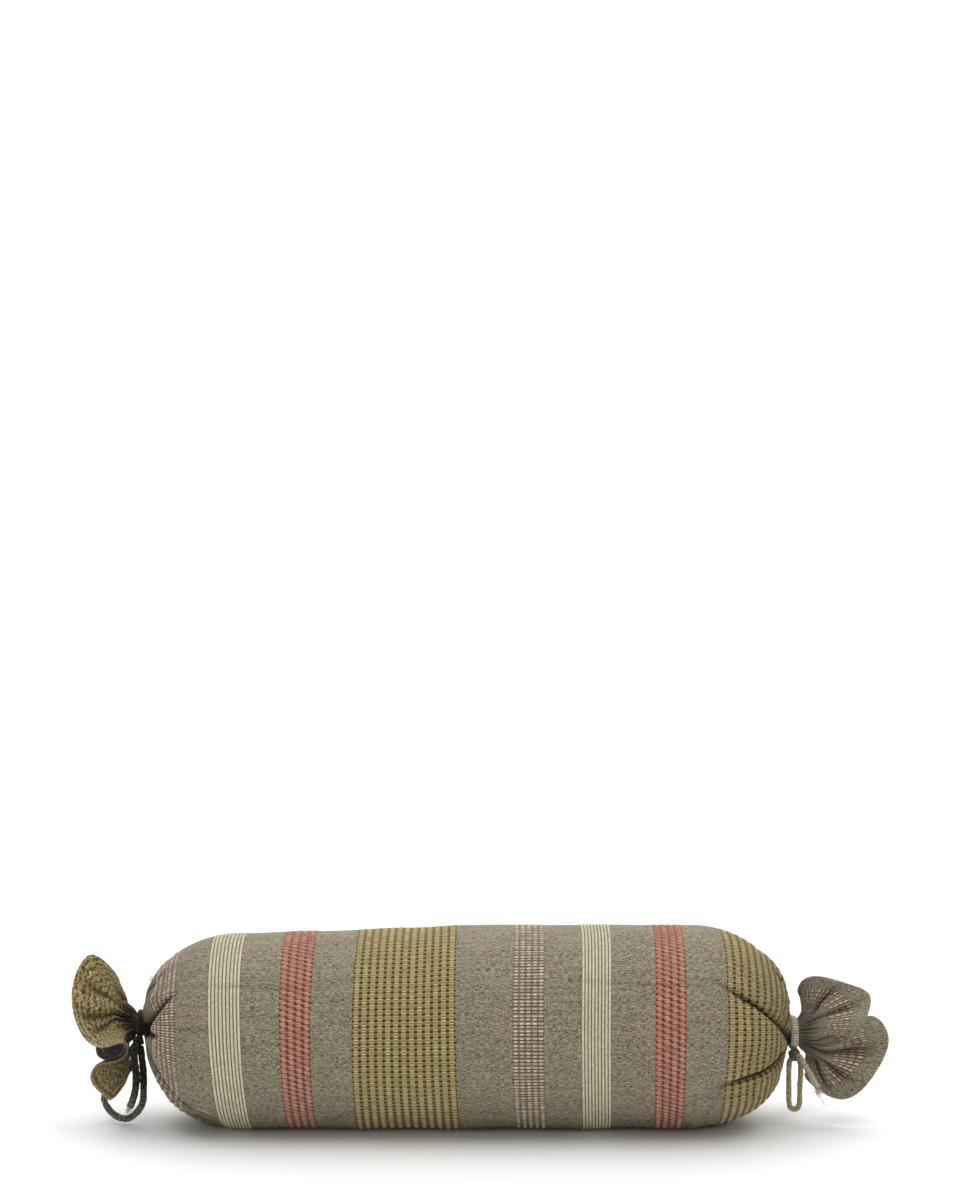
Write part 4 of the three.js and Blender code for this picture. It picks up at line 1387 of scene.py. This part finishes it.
# Loose threads: what each tuft grows on, where it starts, the way it points, and its threads' count, length
# and spread.
TUFTS = (
    ("sewn_tail_left", (-0.325, -0.024, 0.0186), (-0.35, 0.0, -1.0), 46, 0.0065, 0.30),
    ("sewn_tail_right", (0.339, -0.035, 0.0395), (0.35, -0.25, -1.0), 60, 0.0080, 0.34),
    ("sewn_tail_right", (0.3415, -0.037, 0.034), (0.45, -0.25, -0.9), 4, 0.0150, 0.10),
    ("bolster_cover", (-0.3087, -0.010, 0.1415), (-0.8, -0.2, 0.5), 26, 0.0050, 0.70),
    ("bolster_cover", (-0.2606, -0.070, 0.0277), (1.0, -0.10, -0.22), 4, 0.0240, 0.10),
)
THREAD = {"thick": 0.00034, "roots": 0.0013, "out": 0.4, "sides": 4}


def make_tufts():
    yarns = bpy.context.scene.bolster_yarns
    material = yarn_material("loose thread", yarns.grey_green, yarns.cream)
    chance = np.random.default_rng(YARN_SEED)
    for number, (grown_on, start, way, count, long, spread) in enumerate(TUFTS):
        way = unit(unit(np.array(way)) + spread * chance.normal(size=(count, 3)))
        start = np.array(start)
        on_cover = grown_on == "bolster_cover"
        grown_on = bpy.data.objects[grown_on]
        if on_cover:
            surface = points_of(grown_on.data)
            start = surface[np.linalg.norm(surface - start, axis=-1).argmin()]
        root = start + THREAD["roots"] * chance.normal(size=(count, 3))
        square = unit(np.cross(way, ASKEW["threads"]))
        at = root + way * long * THREAD["out"]
        at[:, 2] = np.maximum(at[:, 2], long / 2.0)
        size = (long, THREAD["thick"], THREAD["thick"])
        name = f"loose_threads_{number + 1}"
        made = yarns_on(name, at, way, square, np.zeros(count), size, material, THREAD["sides"])
        made.parent = grown_on
        made.matrix_parent_inverse = made.parent.matrix_world.inverted()


# The ties: soft sewn tubes, a little flattened and uneven, each ridged at its seam.
TUBE_SIDES = 18
TUBE_STEP = 0.0006
CURVE_SAMPLES = 40
FLATTENED = 0.86
UNEVEN = {"wide": 0.05, "waves": 330.0, "twist": 120.0, "fine": 0.035, "fine_waves": 900.0}
SEAM = {"height": 0.10, "at": math.pi * 0.5, "width": 0.22}


def route_line(route):
    """Even points along the smooth curve through a route."""
    points = np.array(route)
    points = np.vstack([2.0 * points[0] - points[1], points, 2.0 * points[-1] - points[-2]])
    knots = np.concatenate([[0.0], np.cumsum(np.linalg.norm(np.diff(points, axis=0), axis=-1) ** 0.5)])
    line = []
    for k in range(1, len(points) - 2):
        t = np.linspace(knots[k], knots[k + 1], CURVE_SAMPLES, endpoint=False)[:, None]
        a, b, c, d = knots[k - 1 : k + 3]
        p, q, r, s = points[k - 1 : k + 3]
        pq = mix(p, q, (t - a) / (b - a))
        qr = mix(q, r, (t - b) / (c - b))
        rs = mix(r, s, (t - c) / (d - c))
        line.append(mix(mix(pq, qr, (t - a) / (c - a)), mix(qr, rs, (t - b) / (d - b)), (t - b) / (c - b)))
    line = np.vstack(line + [points[-2:-1]])
    far = np.concatenate([[0.0], np.cumsum(np.linalg.norm(np.diff(line, axis=0), axis=-1))])
    even = np.linspace(0.0, far[-1], max(3, round(far[-1] / TUBE_STEP)) + 1)
    return np.stack([np.interp(even, far, line[:, axis]) for axis in range(3)], axis=-1), float(far[-1])


def cross_frames(line):
    """Two directions square to a line at each of its points, turning as little as they can."""
    ahead = unit(np.gradient(line, axis=0))
    first = np.cross(ahead[0], (0.0, 1.0, 0.0))
    sides = [unit(first if np.linalg.norm(first) > 0.1 else np.cross(ahead[0], (1.0, 0.0, 0.0)))]
    for direction in ahead[1:]:
        sides.append(unit(sides[-1] - direction * np.dot(sides[-1], direction)))
    sides = np.array(sides)
    return sides, np.cross(ahead, sides)


def tube_points(line, radius):
    """Rings round a line, with a radius for each of its points."""
    a, b = cross_frames(line)
    angle = np.arange(TUBE_SIDES) / TUBE_SIDES * 2.0 * math.pi
    at = np.arange(len(line))[:, None] * TUBE_STEP
    wide = UNEVEN["wide"] * np.sin(at * UNEVEN["waves"]) * np.sin(angle * 2.0 + at * UNEVEN["twist"])
    fine = UNEVEN["fine"] * np.sin(at * UNEVEN["fine_waves"] + angle)
    seam = SEAM["height"] * dip(angle[None, :] - SEAM["at"], SEAM["width"])
    size = radius[:, None] * (1.0 + wide + fine + seam)
    across = (size * np.cos(angle))[..., None] * a[:, None, :]
    over = (size * FLATTENED * np.sin(angle))[..., None] * b[:, None, :]
    return line[:, None, :] + across + over


def tube_mesh(name, points, material, length, shade):
    places = np.linspace(0.0, length, len(points))
    rib = WEAVES["grey"]["rib"]
    gaps = [("grey", a / rib, b / rib) for a, b in zip(places, places[1:])]
    turns = np.arange(points.shape[1]) / points.shape[1]
    return woven_mesh(name, points, places, gaps, turns, {"grey": material}, shade)


TIE_PITCH = 1.1  # millimetres from thread to thread of the ties' cloth
TIE_YARNS = {
    "tie_loop_left": "tie_dark",
    "tie_tail_left": "tie_dark",
    "tie_loop_right": "tie_olive",
    "tie_tail_right": "tie_pale",
    "tie_wrap_left": "tie_dark",
    "tie_wrap_right": "tie_pale",
    "tie_knot_left": "tie_dark",
    "tie_knot_right": "tie_olive",
}


def tie_material(piece):
    """The cloth of a tie: fine, tightly sewn, streaked along its length."""
    yarn = TIE_YARNS[piece]
    yarns = bpy.context.scene.bolster_yarns

    def draw(nodes):
        maps = ClothMaps(nodes)
        streaks = nodes.noise(nodes.vector(maps.u * 0.25, maps.v * 0.02), 1.0, 3.0, 0.6).ease(0.3, 0.7)
        flecks = nodes.noise(nodes.vector(maps.u * 0.8, maps.v * 0.03), 1.0, 2.0, 0.6).ease(0.55, 0.66)
        colour = nodes.shade(getattr(yarns, yarn), streaks * 0.55 + 0.62)
        specks = nodes.noise(nodes.vector(maps.u * 0.8, maps.v * 0.03 + 9.0), 1.0, 2.0, 0.6).ease(0.55, 0.66)
        colour = nodes.shade(colour, 1.0 - specks * 0.55)
        threads = plain_weave(nodes, maps, TIE_PITCH)
        return nodes.blend(flecks * 0.75, colour, yarns.cream), streaks * 0.7 + threads * 0.3

    name = f"{yarn} cloth"
    return bpy.data.materials.get(name) or matt_cloth(name, draw, 0.0004)


def finish_tie(made, node):
    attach(made, BODY)
    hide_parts(node)


# How much shade is painted on the left tie beside its neck, and the height at which and over which it
# darkens.
UNLIT_TIE = {"dark": 0.66, "from": 0.020, "over": 0.026}


def make_cords():
    for name, tie in TIES.items():
        line, length = route_line(tie["route"])
        radius = np.full(len(line), tie["radius"])
        valley = ribbed(np.linspace(0.0, length, len(line))) if name == "tie_tail_right" else 0.0 * radius
        points = tube_points(line, radius - RIBS["depth"] * valley)
        darker = UNLIT_TIE["dark"] * smooth((line[:, 2] - UNLIT_TIE["from"]) / UNLIT_TIE["over"])
        unlit = darker if "left" in name else 0.0
        shade = np.broadcast_to((RIBS["dark"] * valley + unlit)[:, None], points.shape[:2])
        made = tube_mesh(name.replace("tie_", "sewn_"), points, tie_material(name), length, shade)
        finish_tie(made, name)


# The wraps' rings from one turn to another, in degrees, with their swelling and the grooves between strands.
WRAP_FORM = {"steps": 400, "from": 184.0, "to": 536.0, "sides": 28, "swell": 0.05, "groove": 0.10}
RIBS = {"pitch": 0.0021, "depth": 0.00055, "dark": 0.62}  # the cords across the pale tie, with shade painted in the gaps between them


def ribbed(along):
    """1 in the gaps between the cords across the pale tie, 0 on top of them."""
    return (1.0 - np.abs(np.sin(along * math.pi / RIBS["pitch"]))) ** 1.5


def make_wraps():
    """The tie's turns round each neck: strands side by side, their ends under the knot."""
    for side in NAMES:
        end, wrap = ENDS[side], WRAPS[side]
        angle = np.radians(np.linspace(WRAP_FORM["from"], WRAP_FORM["to"], WRAP_FORM["steps"]))
        middle = end["neck_radius"] + SEAT + wrap["thick"] / 2.0
        swell = 1.0 + WRAP_FORM["swell"] * np.sin(angle * 7.0) * np.sin(angle * 17.0)
        # On the left the whole wrap is drawn as a gap: a little thinner, and in painted shade.
        valley = ribbed(angle * middle) if side == "right" else np.ones(WRAP_FORM["steps"])
        section = np.arange(WRAP_FORM["sides"]) / WRAP_FORM["sides"] * 2.0 * math.pi
        strands = 1.0 - WRAP_FORM["groove"] * np.abs(np.sin(section * 1.5)) ** 4.0
        thick = wrap["thick"] / 2.0 * strands * swell[:, None] - RIBS["depth"] * valley[:, None]
        radial = middle + thick * np.cos(section)[None, :]
        along = wrap["half"] * np.sin(section)[None, :] * np.ones_like(radial)
        x = end["side"] * (end["stop"] + SEAT + wrap["half"] + along)
        y = -radial * np.cos(angle)[:, None]
        z = end["neck_height"] + radial * np.sin(angle)[:, None]
        points = np.stack([x, y, z], axis=-1)
        node = f"tie_wrap_{side}"
        shade = np.broadcast_to((RIBS["dark"] * valley)[:, None], radial.shape)
        made = tube_mesh(f"sewn_wrap_{side}", points, tie_material(node), middle * 2.0 * math.pi, shade)
        finish_tie(made, node)


# Each knot: its middle, its size and the shade painted on it; and the bands of cloth that cross over it.
KNOTS = {
    "left": {"at": (-0.319, -0.0133, 0.0807), "size": (0.0125, 0.0115, 0.0120), "unlit": 0.70},
    "right": {"at": (0.320, -0.0126, 0.0673), "size": (0.0130, 0.0118, 0.0145), "unlit": 0.50},
}
KNOT_BANDS = (
    {"square_to": (0.35, 0.30, 0.90), "lift": 1.00, "width": 0.42},
    {"square_to": (0.80, -0.25, -0.50), "lift": 0.94, "width": 0.36},
    {"square_to": (0.20, 0.95, -0.20), "lift": 0.88, "width": 0.40},
)
KNOT_FORM = {"lines": 40, "sides": 56, "poles": 86.0, "core": 0.78, "length": 0.014}


def make_knots():
    """A knot is a lump on which bands of the tie cross, the upper ones higher."""
    for side, knot in KNOTS.items():
        up = np.radians(np.linspace(-KNOT_FORM["poles"], KNOT_FORM["poles"], KNOT_FORM["lines"]))[:, None]
        turn = (np.arange(KNOT_FORM["sides"]) / KNOT_FORM["sides"] * 2.0 * math.pi)[None, :]
        flat = np.cos(up)
        way = np.stack([flat * np.cos(turn), flat * np.sin(turn), np.sin(up) + 0.0 * turn], axis=-1)
        reach = np.full(way.shape[:2], KNOT_FORM["core"])
        for band in KNOT_BANDS:
            off = (way @ unit(np.array(band["square_to"]))) / band["width"]
            reach = np.maximum(reach, band["lift"] * np.sqrt(np.maximum(0.0, 1.0 - off**2 * 0.5)))
        points = np.array(knot["at"]) + way * reach[..., None] * np.array(knot["size"]) / 2.0
        node = f"tie_knot_{side}"
        shade = np.full(reach.shape, knot["unlit"])
        made = tube_mesh(f"sewn_knot_{side}", points, tie_material(node), KNOT_FORM["length"], shade)
        finish_tie(made, node)


def plain_material(name, colour, rough):
    material = bpy.data.materials.new(name)
    material.use_nodes = True
    shader = material.node_tree.nodes["Principled BSDF"]
    shader.inputs["Base Color"].default_value = (*colour, 1.0)
    shader.inputs["Roughness"].default_value = rough
    return material


def wide_light(name, place, strength, spread):
    """Even light from the direction of a place, as wide as its spread."""
    light = bpy.data.lights.new(name, "SUN")
    light.energy = strength
    light.angle = spread
    made = bpy.data.objects.new(name, light)
    made.location = place
    made.rotation_euler = (-Vector(place)).to_track_quat("-Z", "Y").to_euler()
    bpy.context.scene.collection.objects.link(made)


# The stage.
SENSOR = 36.0  # width of the camera's sensor in millimetres
FARTHEST = 50.0  # how far the camera sees
TOP_LIGHT = {"from": (0.1, 0.35, 2.0), "spread": math.radians(75.0)}


def make_stage():
    stage = bpy.context.scene.bolster_stage
    bpy.ops.mesh.primitive_plane_add(size=stage.floor)
    floor = bpy.context.object
    floor.name = "floor"
    floor.data.materials.append(plain_material("white paper", (stage.paper,) * 3, 0.9))
    bpy.ops.mesh.primitive_plane_add(size=stage.floor)
    backdrop = bpy.context.object
    backdrop.name = "backdrop"
    upright = np.array([[-1, 1, 0], [1, 1, 0], [-1, 1, 1], [1, 1, 1]]) * stage.floor / 2.0
    backdrop.data.vertices.foreach_set("co", upright.ravel())
    glow = plain_material("lit wall", (1.0, 1.0, 1.0), 1.0)
    shader = glow.node_tree.nodes["Principled BSDF"]
    shader.inputs["Emission Color"].default_value = (1.0, 1.0, 1.0, 1.0)
    shader.inputs["Emission Strength"].default_value = 1.0
    backdrop.data.materials.append(glow)
    camera = bpy.data.cameras.new("camera")
    camera.lens = stage.lens
    camera.sensor_width = SENSOR
    camera.sensor_fit = "HORIZONTAL"
    camera.clip_end = FARTHEST
    made = bpy.data.objects.new("camera", camera)
    made.location = stage.camera_place
    made.rotation_euler = (math.pi / 2.0, 0.0, 0.0)
    bpy.context.scene.collection.objects.link(made)
    bpy.context.scene.camera = made
    wide_light("top light", TOP_LIGHT["from"], stage.top_light, TOP_LIGHT["spread"])
    world = bpy.data.worlds.new("studio")
    world.use_nodes = True
    world.node_tree.nodes["Background"].inputs["Color"].default_value = (1.0, 1.0, 1.0, 1.0)
    world.node_tree.nodes["Background"].inputs["Strength"].default_value = stage.room_light
    bpy.context.scene.world = world
    bpy.context.scene.view_settings.view_transform = "Standard"


def yarn(name, *colour):
    return FloatVectorProperty(
        name=name,
        description=f"Colour: {name.lower()}",
        subtype="COLOR",
        size=3,
        min=0.0,
        max=1.0,
        default=linear(*colour),
    )


class BolsterYarns(bpy.types.PropertyGroup):
    """Colours of the yarns in each weave."""

    grey_rosy: yarn("Grey ground, rosy", 156, 142, 122)
    grey_green: yarn("Grey ground, green", 150, 143, 118)
    olive_brown: yarn("Olive waffle, brown", 154, 129, 78)
    olive_green: yarn("Olive waffle, green", 150, 138, 86)
    olive_light: yarn("Olive waffle, floats", 236, 220, 176)
    # The waffle's pits colour is painted shade.
    olive_pit_shade: yarn("Olive waffle, pits", 78, 60, 24)
    dots_ground: yarn("Dotted stripe, ground", 146, 132, 110)
    dots_brown: yarn("Dotted stripe, brown", 130, 111, 90)
    dots_dark: yarn("Dotted stripe, lines", 84, 68, 50)
    dots_light: yarn("Dotted stripe, knots", 244, 230, 210)
    cream: yarn("Cream cords", 246, 240, 212)
    cream_dark: yarn("Cream cords, shaded", 196, 188, 160)
    # The colour between the cream cords is the grey ground in painted shade.
    cream_gap: yarn("Between the cream cords", 100, 92, 68)
    pink: yarn("Pink honeycomb", 188, 132, 114)
    pink_deep: yarn("Pink honeycomb, deep", 156, 102, 84)
    # The honeycomb's floats colour is also its painted highlight, and its corners colour is painted shade.
    pink_light: yarn("Pink honeycomb, floats", 230, 180, 160)
    pink_corner_shade: yarn("Pink honeycomb, corners", 92, 48, 36)
    tie_dark: yarn("Dark tie", 66, 66, 60)
    tie_olive: yarn("Olive tie", 170, 156, 108)
    tie_pale: yarn("Pale tie", 232, 224, 202)


class BolsterFill(bpy.types.PropertyGroup):
    """How the filling swells the cover."""

    pressure: FloatProperty(name="Pressure", description="Push of the filling", default=4.0, min=0.0)
    stiffness: FloatProperty(name="Stiffness", description="Stiffness of the cloth", default=15.0, min=0.0)
    bending: FloatProperty(name="Bending", description="Resistance to creases", default=0.3, min=0.0)
    spare_cloth: FloatProperty(name="Spare cloth", description="Cloth to spare that wrinkles", default=0.012)
    cloth_weight: FloatProperty(name="Weight", description="Weight of each point of the cloth", default=0.3)
    most_move: FloatProperty(
        name="Most swelling",
        description="Farthest that the cloth may move",
        default=0.005,
        subtype="DISTANCE",
    )
    frames: IntProperty(name="Steps", description="Steps of the settling", default=20, min=2)
    held_lines: IntProperty(name="Held lines", description="Still lines at each neck", default=5, min=1)


class BolsterStage(bpy.types.PropertyGroup):
    """Camera, floor and light."""

    camera_place: FloatVectorProperty(
        name="Camera", description="Place of the camera", subtype="XYZ", size=3, default=(0.0137, -2.0, 0.510)
    )
    lens: FloatProperty(name="Lens", description="Focal length in millimetres", default=76.53, min=10.0)
    floor: FloatProperty(name="Floor", description="Width of the floor", default=14.0, subtype="DISTANCE")
    paper: FloatProperty(name="Paper", description="Whiteness of the floor", default=0.92, min=0.0, max=1.0)
    top_light: FloatProperty(name="Top light", description="Strength from above", default=2.3, min=0.0)
    room_light: FloatProperty(name="Room light", description="Light from all round", default=0.45, min=0.0)


class BOLSTER_OT_stage(bpy.types.Operator):
    """Makes the camera, the floor and the lights"""

    bl_idname = "bolster.stage"
    bl_label = "Make the Stage"

    def execute(self, context):
        make_stage()
        return {"FINISHED"}


class BOLSTER_OT_cords(bpy.types.Operator):
    """Makes the loops and tails of the ties"""

    bl_idname = "bolster.cords"
    bl_label = "Make Tie Loops and Tails"

    def execute(self, context):
        make_cords()
        return {"FINISHED"}


class BOLSTER_OT_knots(bpy.types.Operator):
    """Makes the ties' turns round the necks, and their knots"""

    bl_idname = "bolster.knots"
    bl_label = "Make Wraps and Knots"

    def execute(self, context):
        make_wraps()
        make_knots()
        return {"FINISHED"}


class BOLSTER_OT_roll(bpy.types.Operator):
    """Makes the filled roll in its woven cover"""

    bl_idname = "bolster.roll"
    bl_label = "Make the Roll"

    def execute(self, context):
        make_roll()
        return {"FINISHED"}


class BOLSTER_OT_flounces(bpy.types.Operator):
    """Makes the open ends of the cover past the ties"""

    bl_idname = "bolster.flounces"
    bl_label = "Make the Flounces"

    def execute(self, context):
        for side in NAMES:
            make_flounce(side)
        return {"FINISHED"}


class BOLSTER_OT_threads(bpy.types.Operator):
    """Makes the loose threads, on pieces made before"""

    bl_idname = "bolster.threads"
    bl_label = "Make Loose Threads"

    def execute(self, context):
        make_tufts()
        return {"FINISHED"}


class BOLSTER_PT_panel(bpy.types.Panel):
    bl_label = "Tied Bolster Cushion"
    bl_space_type = "VIEW_3D"
    bl_region_type = "UI"
    bl_category = "Bolster"

    def draw(self, context):
        layout = self.layout
        for group in (context.scene.bolster_fill, context.scene.bolster_yarns, context.scene.bolster_stage):
            for name in type(group).__annotations__:
                layout.prop(group, name)
        for operator in OPERATORS:
            layout.operator(operator.bl_idname)


OPERATORS = (
    BOLSTER_OT_stage,
    BOLSTER_OT_cords,
    BOLSTER_OT_knots,
    BOLSTER_OT_roll,
    BOLSTER_OT_flounces,
    BOLSTER_OT_threads,
)
CLASSES = (BolsterYarns, BolsterFill, BolsterStage, *OPERATORS, BOLSTER_PT_panel)


def register():
    for kind in CLASSES:
        bpy.utils.register_class(kind)
    bpy.types.Scene.bolster_yarns = PointerProperty(type=BolsterYarns)
    bpy.types.Scene.bolster_fill = PointerProperty(type=BolsterFill)
    bpy.types.Scene.bolster_stage = PointerProperty(type=BolsterStage)


def unregister():
    del bpy.types.Scene.bolster_stage
    del bpy.types.Scene.bolster_fill
    del bpy.types.Scene.bolster_yarns
    for kind in reversed(CLASSES):
        bpy.utils.unregister_class(kind)


def main():
    register()
    bpy.ops.bolster.stage()
    bpy.ops.bolster.cords()
    bpy.ops.bolster.knots()
    bpy.ops.bolster.roll()
    bpy.ops.bolster.flounces()
    bpy.ops.bolster.threads()


if __name__ == "__main__":
    main()
